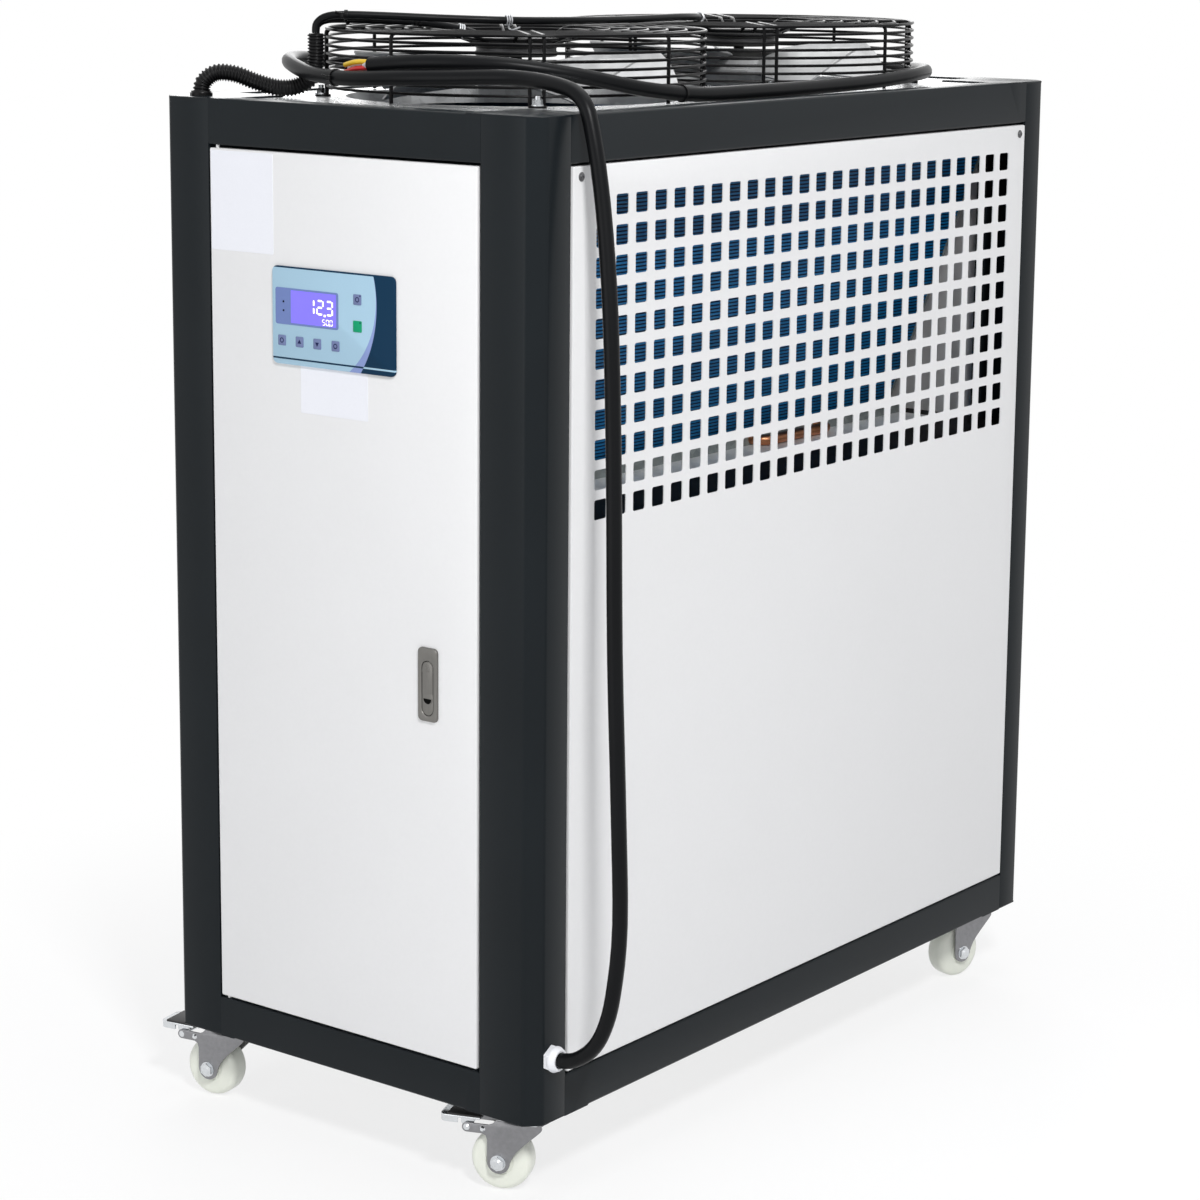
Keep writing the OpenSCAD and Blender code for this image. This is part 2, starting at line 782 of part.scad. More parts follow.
// Lock nuts either side of the rear panel, and the port's length behind it
port_nut_r = port_r + 5;
port_nut_t = 5;
port_inside = 40;

module water_port(x)
    color(brass)
        translate([x, cab_d / 2 + proud, base_z + port_up]) rotate([-90, 0, 0])
            difference() {
                union() {
                    translate([0, 0, -port_inside]) cylinder(r = port_r, h = port_inside + port_len);
                    cylinder(r = port_nut_r, h = port_nut_t, $fn = 6);
                    translate([0, 0, -panel_t - port_nut_t])
                        cylinder(r = port_nut_r, h = port_nut_t, $fn = 6);
                }
                translate([0, 0, -port_inside - 1])
                    cylinder(r = port_bore_r, h = port_inside + port_len + 2);
            }

// Smooth route through hand-chosen points
function smooth_point(a, b, c, d, t) =
    0.5 * (2 * b + (c - a) * t + (2 * a - 5 * b + 4 * c - d) * t * t
        + (3 * b - a - 3 * c + d) * t * t * t);
function smooth_route(p, steps) = let (n = len(p))
    concat([for (i = [0 : n - 2], k = [0 : steps - 1])
        smooth_point(p[max(i - 1, 0)], p[i], p[i + 1], p[min(i + 2, n - 1)], k / steps)],
        [p[n - 1]]);

function unit(v) = v / norm(v);
function heading_at(p, i) = unit(p[min(i + 1, len(p) - 1)] - p[max(i - 1, 0)]);
// Normals carried along the route without twist
function carried(p, i, last) = let (t = heading_at(p, i)) unit(last - (last * t) * t);
function normals(p, i = 0, last = [0, 1, 0], out = []) =
    i == len(p) ? out
    : let (n = carried(p, i, last)) normals(p, i + 1, n, concat(out, [n]));

// A closed round tube along a route
module tube(p, radius, sides) {
    frames = normals(p);
    points = [for (i = [0 : len(p) - 1])
        let (t = heading_at(p, i), u = frames[i], v = cross(t, u))
            for (k = [0 : sides - 1])
                p[i] + radius * (cos(360 * k / sides) * u + sin(360 * k / sides) * v)];
    last = (len(p) - 1) * sides;
    walls = [for (i = [0 : len(p) - 2], k = [0 : sides - 1])
        let (m = (k + 1) % sides)
            [i * sides + k, (i + 1) * sides + k, (i + 1) * sides + m, i * sides + m]];
    start_cap = [[for (k = [0 : sides - 1]) k]];
    end_cap = [[for (k = [sides - 1 : -1 : 0]) last + k]];
    polyhedron(points, concat(start_cap, walls, end_cap));
}

// The power lead: out of the gland, up the right side, over the edge and once round both guards
power_route = [
    [262, -450, 156], [280, -450, 158], [302, -449, 168], [320, -449, 188], [330, -448, 220],
    [332, -446, 300], [326, -444, 430], [317, -440, 580], [309, -434, 760], [299, -428, 900],
    [284, -421, 1000], [269, -418, 1068], [253, -415, 1102], [216, -408, 1114],
    [155, -400, 1118], [90, -415, 1116], [30, -426, 1114], [-40, -424, 1111],
    [-105, -405, 1113], [-165, -370, 1120], [-207, -322, 1122], [-227, -262, 1119],
    [-224, -190, 1110], [-215, -80, 1096], [-214, 60, 1095], [-214, 190, 1095],
    [-196, 290, 1095], [-130, 376, 1095], [-30, 414, 1096], [70, 404, 1098],
    [160, 344, 1101], [205, 262, 1101], [215, 160, 1097], [216, 40, 1095],
    [218, -80, 1095], [216, -180, 1096], [207, -258, 1104], [180, -318, 1117],
    [128, -374, 1128], [56, -409, 1130], [-14, -416, 1125]];

// The corrugated conduit: out of the front left corner, under the lead and up beside the guard
conduit_route = [
    [-214, -452, 1091], [-213, -449, 1102], [-204, -440, 1111], [-190, -427, 1110],
    [-174, -412, 1102], [-158, -397, 1096], [-145, -384, 1097], [-135, -374, 1105],
    [-131, -370, 1118], [-130, -369, 1134], [-130, -369, 1152]];

front_lead_route = [
    [-133, -366, 1152], [-132, -365, 1160], [-126, -359, 1168], [-114, -347, 1172],
    [-90, -320, 1171], [-62, -285, 1167], [-42, -252, 1160], [-30, -230, 1150]];

rear_lead_route = [
    [-127, -373, 1152], [-126, -372, 1162], [-118, -366, 1172], [-102, -354, 1176],
    [-70, -326, 1175], [-30, -290, 1173], [20, -240, 1174], [44, -170, 1172],
    [40, -60, 1167], [24, 60, 1167], [-4, 130, 1164], [-24, 172, 1150]];

// Nut that holds the conduit on the corner plate
conduit_nut_r = conduit_r + 4;
conduit_nut_t = 6;

module conduit()
    color(black) {
        tube(smooth_route(conduit_route, 2), conduit_r, 12);
        translate([conduit_route[0][0], conduit_route[0][1], top_z])
            cylinder(r = conduit_nut_r, h = conduit_nut_t, $fn = 6);
    }

module fan_leads()
    color(black) {
        tube(smooth_route(front_lead_route, 2), fan_lead_r, 8);
        tube(smooth_route(rear_lead_route, 2), fan_lead_r, 8);
    }

gland_y = power_route[0][1];
gland_z = power_route[0][2];
gland_end = power_route[0][0];

gland_hex_r = 14;
gland_hex_t = 6;
gland_cap_r = 12.5;
gland_wall = 2.2;

module cable_gland()
    color([0.93, 0.93, 0.94])
        translate([cab_w / 2, gland_y, gland_z]) rotate([0, 90, 0]) {
            cylinder(r = gland_hex_r, h = gland_hex_t, $fn = 6);
            difference() {
                cylinder(r1 = gland_cap_r, r2 = lead_r + gland_wall, h = gland_end - cab_w / 2);
                translate([0, 0, gland_hex_t]) cylinder(r = lead_r + seat, h = gland_end);
            }
        }

module power_cable()
    color(black) tube(smooth_route(power_route, 2), lead_r, 10);

core_r = 2.6;
core_start = power_route[len(power_route) - 1];
core_colors = [[0.85, 0.75, 0.12], [0.75, 0.08, 0.1], [0.92, 0.92, 0.92]];
core_rise = [2.8, -2.8, 0];
core_side = [-1.7, -1.7, 3.2];
// Bare length of the cores, how they spread along it and how they sag
core_len = 30;
core_spread = [1, 1.2, 1.3];
core_sag = [0, 1, 5];

module cable_cores()
    for (i = [0 : 2])
        color(core_colors[i])
            tube(smooth_route([for (k = [0 : 2])
                core_start + [-core_len * k / 2, core_side[i] * core_spread[k] + core_sag[k],
                    core_rise[i] * core_spread[k] - core_sag[k]]], 2), core_r, 8);

corner_post(left, front);  // post_front_left
corner_post(right, front);  // post_front_right
corner_post(left, rear);  // post_rear_left
corner_post(right, rear);  // post_rear_right
top_rails();
bottom_rails();
base_pan();
top_plate();
side_panel(90);  // side_panel_right
side_panel(-90);  // side_panel_left
rear_panel();
inner_front_plate();
door_panel();
control_panel();
latch_body();
latch_handle();
coil(right);  // coil_right
coil(left);  // coil_left
coil_tray();
coil_deck();
copper_headers();
fan_guard(fan_y[0]);  // fan_guard_front
fan_guard(fan_y[1]);  // fan_guard_rear
fan_motor(fan_y[0]);  // fan_motor_front
fan_motor(fan_y[1]);  // fan_motor_rear
fan_rotor(fan_y[0]);  // fan_rotor_front
fan_rotor(fan_y[1]);  // fan_rotor_rear
conduit();
fan_leads();
cable_gland();
power_cable();
cable_cores();
caster_plates();
fork(left, front, heading_front_left, true);  // fork_front_left
fork(right, front, heading_front_right, true);  // fork_front_right
fork(left, rear, heading_rear, false);  // fork_rear_left
fork(right, rear, heading_rear, false);  // fork_rear_right
wheel(left, front, heading_front_left);  // wheel_front_left
wheel(right, front, heading_front_right);  // wheel_front_right
wheel(left, rear, heading_rear);  // wheel_rear_left
wheel(right, rear, heading_rear);  // wheel_rear_right
pedal(left, front, heading_front_left);  // pedal_front_left
pedal(right, front, heading_front_right);  // pedal_front_right
water_port(port_spots[0]);  // water_inlet
water_port(port_spots[1]);  // water_outlet
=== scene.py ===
"""Looks of an air cooled water chiller on casters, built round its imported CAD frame.

Sizes are in millimetres in the CAD frame: +Z up, the door faces -Y, z = 0 is the floor.
Every piece is scaled to metres as it is finished.
"""

from __future__ import annotations

import json
import logging
import math
from dataclasses import dataclass, field
from enum import Enum
from typing import Iterable, Sequence

import bmesh
import bpy
from mathutils import Matrix, Vector

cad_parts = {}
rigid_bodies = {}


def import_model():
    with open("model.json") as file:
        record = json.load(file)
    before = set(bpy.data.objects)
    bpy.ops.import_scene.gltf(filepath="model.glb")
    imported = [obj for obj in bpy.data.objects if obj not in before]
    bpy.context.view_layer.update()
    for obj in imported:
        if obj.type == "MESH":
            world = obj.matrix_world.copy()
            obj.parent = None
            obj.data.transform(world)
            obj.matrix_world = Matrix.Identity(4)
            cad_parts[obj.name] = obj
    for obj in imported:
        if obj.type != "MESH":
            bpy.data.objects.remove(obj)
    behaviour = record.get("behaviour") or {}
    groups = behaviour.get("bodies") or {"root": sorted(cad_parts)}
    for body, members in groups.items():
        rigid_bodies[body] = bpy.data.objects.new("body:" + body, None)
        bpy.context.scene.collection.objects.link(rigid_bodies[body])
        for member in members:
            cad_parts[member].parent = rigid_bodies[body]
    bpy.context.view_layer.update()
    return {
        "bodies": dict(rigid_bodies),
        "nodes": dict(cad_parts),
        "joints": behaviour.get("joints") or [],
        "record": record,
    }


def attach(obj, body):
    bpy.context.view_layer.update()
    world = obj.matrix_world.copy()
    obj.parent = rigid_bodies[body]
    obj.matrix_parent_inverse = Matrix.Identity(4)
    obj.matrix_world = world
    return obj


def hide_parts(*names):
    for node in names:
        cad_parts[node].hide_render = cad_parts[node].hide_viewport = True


LOG = logging.getLogger("chiller")

MM = 0.001
FULL_TURN = 2.0 * math.pi
MERGE = 0.001

Colour = tuple[float, float, float]
Point = tuple[float, float, float]
Point2 = tuple[float, float]
WHITE = (1.0, 1.0, 1.0, 1.0)
UPRIGHT = Matrix.Rotation(math.pi / 2, 4, "X")


def feed(tree: bpy.types.NodeTree, socket: bpy.types.NodeSocket, value: object) -> None:
    """Links an input to another node's output, or sets it to a constant.

    Args:
        tree: the node tree.
        socket: the input.
        value: the output or the constant.
    """
    if isinstance(value, bpy.types.NodeSocket):
        tree.links.new(value, socket)
    else:
        socket.default_value = value


def add_node(tree: bpy.types.NodeTree, kind: str, inputs: dict[str | int, object],
             **settings: str) -> bpy.types.Node:
    """Adds a shader node.

    Args:
        tree: the node tree.
        kind: the node's type without its prefix.
        inputs: what each input is set or linked to.
        settings: the node's own settings.

    Returns:
        The node.
    """
    made = tree.nodes.new(f"ShaderNode{kind}")
    for name, value in settings.items():
        setattr(made, name, value)
    for key, value in inputs.items():
        feed(tree, made.inputs[key], value)
    return made


class Grain(Enum):
    """How a finish varies over its surface."""

    POWDER = "fine dimples of a powder coat"
    PEEL = "low ripple of a smooth coat"
    SPANGLE = "crystals of a zinc bath"
    BRUSHED = "drawn streaks"
    MOULDED = "faint mottling of moulded plastic"
    TARNISH = "cloudy patches on bare metal"


@dataclass(frozen=True)
class Finish:
    """A surface finish and the material slot of the record that it belongs to."""

    name: str
    slot: str
    colour: Colour
    roughness: float
    grain: Grain
    metallic: float = 0.0
    coat: float = 0.0
    glow: float = 0.0
    scale: float = 900.0
    contrast: float = 0.06
    bump: float = 0.04
    stretch: Point = (1.0, 1.0, 1.0)
    specular: float = 0.5

    def material(self) -> bpy.types.Material:
        """Makes the finish's material once and gives the same one afterwards.

        Returns:
            The material, procedural on Object coordinates.
        """
        known = bpy.data.materials.get(self.name)
        if known:
            return known
        made = bpy.data.materials.new(self.name)
        made.use_nodes = True
        tree = made.node_tree
        shader = tree.nodes["Principled BSDF"]
        shader.inputs["Metallic"].default_value = self.metallic
        shader.inputs["Coat Weight"].default_value = self.coat
        shader.inputs["Specular IOR Level"].default_value = self.specular
        if self.glow:
            shader.inputs["Emission Color"].default_value = (*self.colour, 1.0)
            shader.inputs["Emission Strength"].default_value = self.glow
        spot = add_node(tree, "TexCoord", {}).outputs["Object"]
        drawn = add_node(tree, "Mapping", {"Vector": spot, "Scale": self.stretch})
        fine = self._fine(tree, drawn.outputs["Vector"])
        cloud = add_node(tree, "TexNoise", {"Vector": spot, "Scale": 9.0, "Detail": 3.0}).outputs["Fac"]
        feed(tree, shader.inputs["Base Color"], self._tint(tree, fine, cloud))
        gloss = add_node(tree, "MapRange", {"Value": cloud, "To Min": max(0.03, self.roughness * 0.85),
                                            "To Max": min(1.0, self.roughness * 1.15)})
        feed(tree, shader.inputs["Roughness"], gloss.outputs["Result"])
        lift = add_node(tree, "Bump", {"Strength": self.bump, "Distance": 0.0005, "Height": fine})
        feed(tree, shader.inputs["Normal"], lift.outputs["Normal"])
        return made

    def _fine(self, tree: bpy.types.NodeTree, spot: bpy.types.NodeSocket) -> bpy.types.NodeSocket:
        """Adds the fine texture of the grain.

        Args:
            tree: the material's node tree.
            spot: the coordinates that feed the texture.

        Returns:
            The texture's grey output.
        """
        if self.grain is Grain.SPANGLE:
            cells = add_node(tree, "TexVoronoi", {"Vector": spot, "Scale": self.scale}, feature="F1")
            return add_node(tree, "SeparateColor", {"Color": cells.outputs["Color"]}).outputs["Red"]
        detail = 2.0 if self.grain is Grain.PEEL else 4.0
        noise = add_node(tree, "TexNoise", {"Vector": spot, "Scale": self.scale, "Detail": detail})
        return noise.outputs["Fac"]

    def _tint(self, tree: bpy.types.NodeTree, fine: bpy.types.NodeSocket,
              cloud: bpy.types.NodeSocket) -> bpy.types.NodeSocket:
        """Varies the base colour by the fine texture and the broad cloud.

        Args:
            tree: the material's node tree.
            fine: the fine texture's grey output.
            cloud: the broad noise's grey output.

        Returns:
            The colour.
        """
        half = add_node(tree, "Math", {0: cloud, 1: 0.5}, operation="MULTIPLY").outputs["Value"]
        blend = add_node(tree, "Math", {0: fine, 1: 0.5, 2: half}, operation="MULTIPLY_ADD")
        ramp = add_node(tree, "ValToRGB", {"Fac": blend.outputs["Value"]})
        shares = (1.0 - self.contrast, 1.0 + self.contrast)
        for element, position, share in zip(ramp.color_ramp.elements, (0.3, 0.7), shares):
            element.position = position
            element.color = (*(min(1.0, c * share) for c in self.colour), 1.0)
        return ramp.outputs["Color"]


FRAME_COAT = Finish("anthracite_coat", "frame_paint", (0.0078, 0.0106, 0.0128), 0.30, Grain.POWDER,
                    scale=1400.0, contrast=0.10, bump=0.05, specular=0.13)
PANEL_COAT = Finish("white_coat", "panel_paint", (0.76, 0.76, 0.765), 0.36, Grain.PEEL,
                    scale=260.0, contrast=0.012, bump=0.03)
GALVANISED = Finish("galvanised_sheet", "galvanised", (0.76, 0.77, 0.775), 0.26, Grain.SPANGLE,
                    metallic=0.5, scale=95.0, contrast=0.10, bump=0.01)
# painted shade: the galvanised sheet's grey-green tone, darkened for the shaded channel sides and the
# coil's end plates
GALVANISED_SHADE = Finish("galvanised_painted_shade", "galvanised", (0.32, 0.35, 0.34), 0.45, Grain.SPANGLE,
                   metallic=0.2, scale=120.0, contrast=0.12, bump=0.01)
# painted light: galvanised sheet brightened to near white, for ledges lit from above
GALVANISED_LIT = Finish("galvanised_painted_light", "galvanised", (0.94, 0.94, 0.93), 0.40, Grain.SPANGLE,
                    scale=120.0, contrast=0.05, bump=0.01)
DECK_BLACK = Finish("deck_black", "deck_paint", (0.005, 0.005, 0.005), 0.55, Grain.POWDER, specular=0.1)
FIN_BLUE = Finish("fin_blue", "coil_fin", (0.006, 0.20, 0.48), 0.45, Grain.BRUSHED,
                  scale=160.0, contrast=0.25, bump=0.05, stretch=(1.0, 0.06, 1.0))
# painted shade: a darkened copy of the fin blue, for the shade in the gaps between the fins
FIN_GAP_SHADE = Finish("coil_fin_gap_shade", "coil_fin", (0.004, 0.028, 0.065), 0.60, Grain.BRUSHED,
                   scale=160.0, contrast=0.25, stretch=(1.0, 0.06, 1.0))
COPPER = Finish("copper_tube", "copper", (0.62, 0.27, 0.14), 0.32, Grain.TARNISH,
                metallic=1.0, scale=60.0, contrast=0.30)
WIRE_BLACK = Finish("wire_black", "guard_wire", (0.005, 0.005, 0.0055), 0.30, Grain.PEEL,
                    scale=500.0, contrast=0.15, bump=0.05, specular=0.08)
MOTOR_BLACK = Finish("motor_black", "motor_black", (0.007, 0.007, 0.0075), 0.38, Grain.POWDER,
                     scale=900.0, contrast=0.15, bump=0.10, specular=0.2)
MOTOR_BAND = Finish("motor_band", "motor_black", (0.10, 0.10, 0.105), 0.35, Grain.BRUSHED,
                    metallic=0.7, scale=500.0, stretch=(1.0, 1.0, 0.1))
BLADE_GREY = Finish("blade_grey", "blade_metal", (0.52, 0.525, 0.53), 0.38, Grain.BRUSHED,
                    metallic=0.3, scale=300.0, contrast=0.08)
TIE_SILVER = Finish("tie_silver", "blade_metal", (0.55, 0.56, 0.58), 0.30, Grain.BRUSHED,
                    metallic=0.6, scale=600.0, contrast=0.10)
CONDUIT_BLACK = Finish("conduit_black", "conduit_plastic", (0.005, 0.005, 0.0055), 0.32, Grain.MOULDED,
                       scale=500.0, contrast=0.12, specular=0.14)
LEAD_BLACK = Finish("lead_black", "lead_rubber", (0.005, 0.0054, 0.0062), 0.34, Grain.MOULDED,
                    scale=700.0, contrast=0.15, bump=0.08, specular=0.1)
CORE_YELLOW = Finish("core_yellow", "core_sheath", (0.72, 0.47, 0.02), 0.30, Grain.MOULDED)
CORE_RED = Finish("core_red", "core_sheath", (0.50, 0.012, 0.014), 0.30, Grain.MOULDED)
CORE_WHITE = Finish("core_white", "core_sheath", (0.70, 0.68, 0.72), 0.45, Grain.MOULDED)
GLAND_WHITE = Finish("gland_white", "gland_plastic", (0.80, 0.81, 0.84), 0.38, Grain.MOULDED,
                     scale=400.0, contrast=0.03)
ZINC = Finish("zinc_plate", "zinc", (0.25, 0.25, 0.26), 0.34, Grain.TARNISH,
              metallic=0.85, scale=220.0, contrast=0.14, bump=0.06)
SCREW_GREY = Finish("screw_grey", "zinc", (0.10, 0.10, 0.105), 0.40, Grain.TARNISH,
                    metallic=0.6, scale=300.0, contrast=0.12)
ZINC_BRIGHT = Finish("zinc_bright", "zinc", (0.66, 0.68, 0.70), 0.20, Grain.TARNISH,
                     metallic=1.0, scale=300.0, contrast=0.08)
PAD_BLACK = Finish("pad_black", "lead_rubber", (0.010, 0.010, 0.011), 0.60, Grain.MOULDED,
                   scale=600.0, contrast=0.15)
IVORY = Finish("ivory_nylon", "wheel_nylon", (0.80, 0.82, 0.735), 0.32, Grain.MOULDED,
               coat=0.15, scale=60.0, contrast=0.05, bump=0.02)
NICKEL = Finish("satin_nickel", "latch_metal", (0.17, 0.165, 0.155), 0.36, Grain.BRUSHED,
                metallic=0.75, scale=700.0, contrast=0.10, stretch=(1.0, 1.0, 0.1))
# black of the unlit lamps, and painted shade inside the latch's finger slot
SHADE_AND_LAMP_BLACK = Finish("slot_shade_and_lamp_black", "latch_metal", (0.002, 0.002, 0.002), 0.70, Grain.POWDER, specular=0.05)
BEZEL_LILAC = Finish("bezel_lilac", "control_face", (0.15, 0.21, 0.45), 0.40, Grain.PEEL, contrast=0.02,
                     specular=0.2)
LENS_VIOLET = Finish("lens_violet", "control_face", (0.15, 0.12, 0.66), 0.25, Grain.PEEL,
                     glow=0.60, scale=60.0, contrast=0.05, bump=0.0)
DIGIT_WHITE = Finish("digit_white", "control_face", (1.0, 0.97, 0.90), 0.30, Grain.PEEL,
                     glow=0.60, contrast=0.01)
KEY_GREY = Finish("key_grey", "control_face", (0.15, 0.185, 0.34), 0.45, Grain.PEEL, contrast=0.03,
                  specular=0.2)
KEY_MARK = Finish("key_mark", "control_face", (0.012, 0.016, 0.07), 0.50, Grain.PEEL, contrast=0.03,
                  specular=0.1)
KEY_GREEN = Finish("key_green", "control_face", (0.003, 0.30, 0.135), 0.45, Grain.PEEL, contrast=0.03,
                   specular=0.15)
LABEL_PAPER = Finish("label_paper", "panel_paint", (0.79, 0.80, 0.85), 0.62, Grain.MOULDED,
                     scale=500.0, contrast=0.015, bump=0.03)
BRASS = Finish("turned_brass", "brass", (0.52, 0.37, 0.13), 0.28, Grain.BRUSHED,
               metallic=1.0, scale=400.0, contrast=0.12, stretch=(1.0, 0.1, 1.0))


def moved(x: float, y: float, z: float) -> Matrix:
    """Gives a place away from the origin."""
    return Matrix.Translation((x, y, z))


def turned(angle: float, axis: str) -> Matrix:
    """Gives a place turned about an axis."""
    return Matrix.Rotation(angle, 4, axis)


def arc(radius: float, start: float, stop: float, steps: int, middle: Point2 = (0.0, 0.0)) -> list[Point2]:
    """Gives points on an arc, with both its ends.

    Args:
        radius: its radius.
        start: the angle where it starts.
        stop: the angle where it ends.
        steps: stretches between the points.
        middle: its middle.

    Returns:
        The points.
    """
    turns = [start + (stop - start) * k / steps for k in range(steps + 1)]
    return [(middle[0] + radius * math.cos(t), middle[1] + radius * math.sin(t)) for t in turns]


def bevel(bm: bmesh.types.BMesh, edges: Iterable[bmesh.types.BMEdge], offset: float,
          segments: int = 3) -> None:
    """Rounds edges.

    Args:
        bm: the mesh.
        edges: the edges to round.
        offset: the round's width.
        segments: faces across the round.
    """
    bmesh.ops.bevel(bm, geom=list(edges), offset=offset, offset_type="OFFSET", segments=segments,
                    profile=0.5, affect="EDGES", clamp_overlap=True, material=-1)


def block(bm: bmesh.types.BMesh, low: Point, high: Point, rounded: float = 0.0, segments: int = 2) -> None:
    """Adds a box between two corners, with its edges rounded.

    Args:
        bm: the mesh.
        low: its lowest corner.
        high: its highest corner.
        rounded: the width of the round on its edges.
        segments: faces across the round.
    """
    low_v, high_v = Vector(low), Vector(high)
    shape = Matrix.Translation((low_v + high_v) / 2) @ Matrix.Diagonal((*(high_v - low_v), 1.0))
    verts = bmesh.ops.create_cube(bm, size=1.0, matrix=shape)["verts"]
    if rounded:
        bevel(bm, dict.fromkeys(e for v in verts for e in v.link_edges), rounded, segments)


def rod(bm: bmesh.types.BMesh, start: Vector, end: Vector, radius: float, sides: int = 12,
        end_radius: float | None = None) -> None:
    """Adds a round or many-sided bar between two points.

    Args:
        bm: the mesh.
        start: the middle of its first end.
        end: the middle of its other end.
        radius: its radius, to the corners if it has few sides.
        sides: how many sides it has.
        end_radius: its radius at the other end, if it tapers.
    """
    start, end = Vector(start), Vector(end)
    along = end - start
    place = Matrix.Translation((start + end) / 2) @ along.to_track_quat("Z", "Y").to_matrix().to_4x4()
    bmesh.ops.create_cone(bm, cap_ends=True, cap_tris=False, segments=sides, radius1=radius,
                          radius2=radius if end_radius is None else end_radius,
                          depth=along.length, matrix=place)


def lathe(bm: bmesh.types.BMesh, profile: Sequence[Point2], place: Matrix, steps: int = 48,
          closed: bool = False) -> None:
    """Turns a profile of (radius, height) points about the Z axis of a place.

    Args:
        bm: the mesh.
        profile: the points, from one end to the other.
        place: where the turning axis stands.
        steps: faces round the axis.
        closed: whether the last point joins the first, as for a ring.
    """
    before = set(bm.faces)
    verts = [bm.verts.new(place @ Vector((r, 0.0, z))) for r, z in profile]
    pairs = list(zip(verts, verts[1:]))
    if closed:
        pairs.append((verts[-1], verts[0]))
    edges = [bm.edges.new(pair) for pair in pairs]
    axis = place.to_3x3() @ Vector((0.0, 0.0, 1.0))
    bmesh.ops.spin(bm, geom=verts + edges, cent=place.translation, axis=axis, dvec=(0.0, 0.0, 0.0),
                   angle=FULL_TURN, steps=steps, use_merge=True, use_duplicate=False)
    made = [f for f in bm.faces if f not in before]
    bmesh.ops.remove_doubles(bm, verts=list(dict.fromkeys(v for f in made for v in f.verts)), dist=MERGE)
    made = [f for f in bm.faces if f not in before]
    bmesh.ops.recalc_face_normals(bm, faces=made)


def ring(bm: bmesh.types.BMesh, radius: float, wire: float, place: Matrix, steps: int = 72) -> None:
    """Adds a wire ring.

    Args:
        bm: the mesh.
        radius: the ring's radius at the middle of its wire.
        wire: the wire's diameter.
        place: where the ring lies.
        steps: faces round the ring.
    """
    lathe(bm, arc(wire / 2, 0.0, FULL_TURN, 8, (radius, 0.0))[:-1], place, steps, closed=True)


def smooth_route(points: Sequence[Point], steps: int) -> list[Vector]:
    """Draws a smooth curve through given points.

    Args:
        points: the points.
        steps: how many stretches each span is cut into.

    Returns:
        The points of the curve.
    """
    p = [Vector(q) for q in points]
    out: list[Vector] = []
    for i in range(len(p) - 1):
        a, b, c, d = p[max(i - 1, 0)], p[i], p[i + 1], p[min(i + 2, len(p) - 1)]
        for k in range(steps):
            t = k / steps
            out.append(0.5 * (2 * b + (c - a) * t + (2 * a - 5 * b + 4 * c - d) * t * t
                              + (3 * b - a - 3 * c + d) * t ** 3))
    out.append(p[-1])
    return out


def route_frames(route: Sequence[Vector]) -> list[Matrix]:
    """Carries a frame along a route without twist.

    Args:
        route: the points of the route.

    Returns:
        A matrix for each point, its Z axis along the route.
    """
    frames: list[Matrix] = []
    turn = None
    last = None
    for i, point in enumerate(route):
        along = (route[min(i + 1, len(route) - 1)] - route[max(i - 1, 0)]).normalized()
        if turn is None:
            turn = along.to_track_quat("Z", "Y")
        else:
            turn = last.rotation_difference(along) @ turn
        last = along
        frames.append(Matrix.Translation(point) @ turn.to_matrix().to_4x4())
    return frames


def tube(bm: bmesh.types.BMesh, route: Sequence[Vector], radii: Sequence[float], sides: int = 12) -> None:
    """Adds a closed round tube along a route, with a radius for each point.

    Args:
        bm: the mesh.
        route: the points of its middle line.
        radii: its radius at each point.
        sides: faces round it.
    """
    before = set(bm.faces)
    loops = []
    for place, radius in zip(route_frames(route), radii):
        verts = bmesh.ops.create_circle(bm, cap_ends=False, segments=sides, radius=radius,
                                        matrix=place)["verts"]
        loops.append(verts)
    for first, second in zip(loops, loops[1:]):
        edges = [e for v in first for e in v.link_edges if e.other_vert(v) in first]
        edges += [e for v in second for e in v.link_edges if e.other_vert(v) in second]
        bmesh.ops.bridge_loops(bm, edges=list(dict.fromkeys(edges)))
    for end in (loops[0], loops[-1]):
        bmesh.ops.contextual_create(bm, geom=end)
    bmesh.ops.recalc_face_normals(bm, faces=[f for f in bm.faces if f not in before])


def slide(bm: bmesh.types.BMesh, grown: Sequence[object], way: Vector | Point) -> None:
    """Moves what an extrusion has made.

    Args:
        bm: the mesh.
        grown: the new geometry.
        way: how far it moves.
    """
    bmesh.ops.translate(bm, verts=[v for v in grown if isinstance(v, bmesh.types.BMVert)], vec=way)


def prism(bm: bmesh.types.BMesh, outline: Sequence[Point2], place: Matrix, depth: float,
          rounded: float = 0.0) -> None:
    """Adds a plate of a given outline, with its edges rounded.

    Args:
        bm: the mesh.
        outline: the corners of the outline in the place's XY plane.
        place: where the plate lies; it grows along the place's Z axis.
        depth: its thickness.
        rounded: the width of the round on its edges.
    """
    before = set(bm.faces)
    face = bm.faces.new([bm.verts.new(place @ Vector((x, y, 0.0))) for x, y in outline])
    grown = bmesh.ops.extrude_face_region(bm, geom=[face])["geom"]
    slide(bm, grown, place.to_3x3() @ Vector((0.0, 0.0, depth)))
    made = [f for f in bm.faces if f not in before]
    bmesh.ops.recalc_face_normals(bm, faces=made)
    if rounded:
        flats = [f for f in made if len(f.verts) == len(outline)]
        bevel(bm, dict.fromkeys(e for f in flats for e in f.edges), rounded, 2)


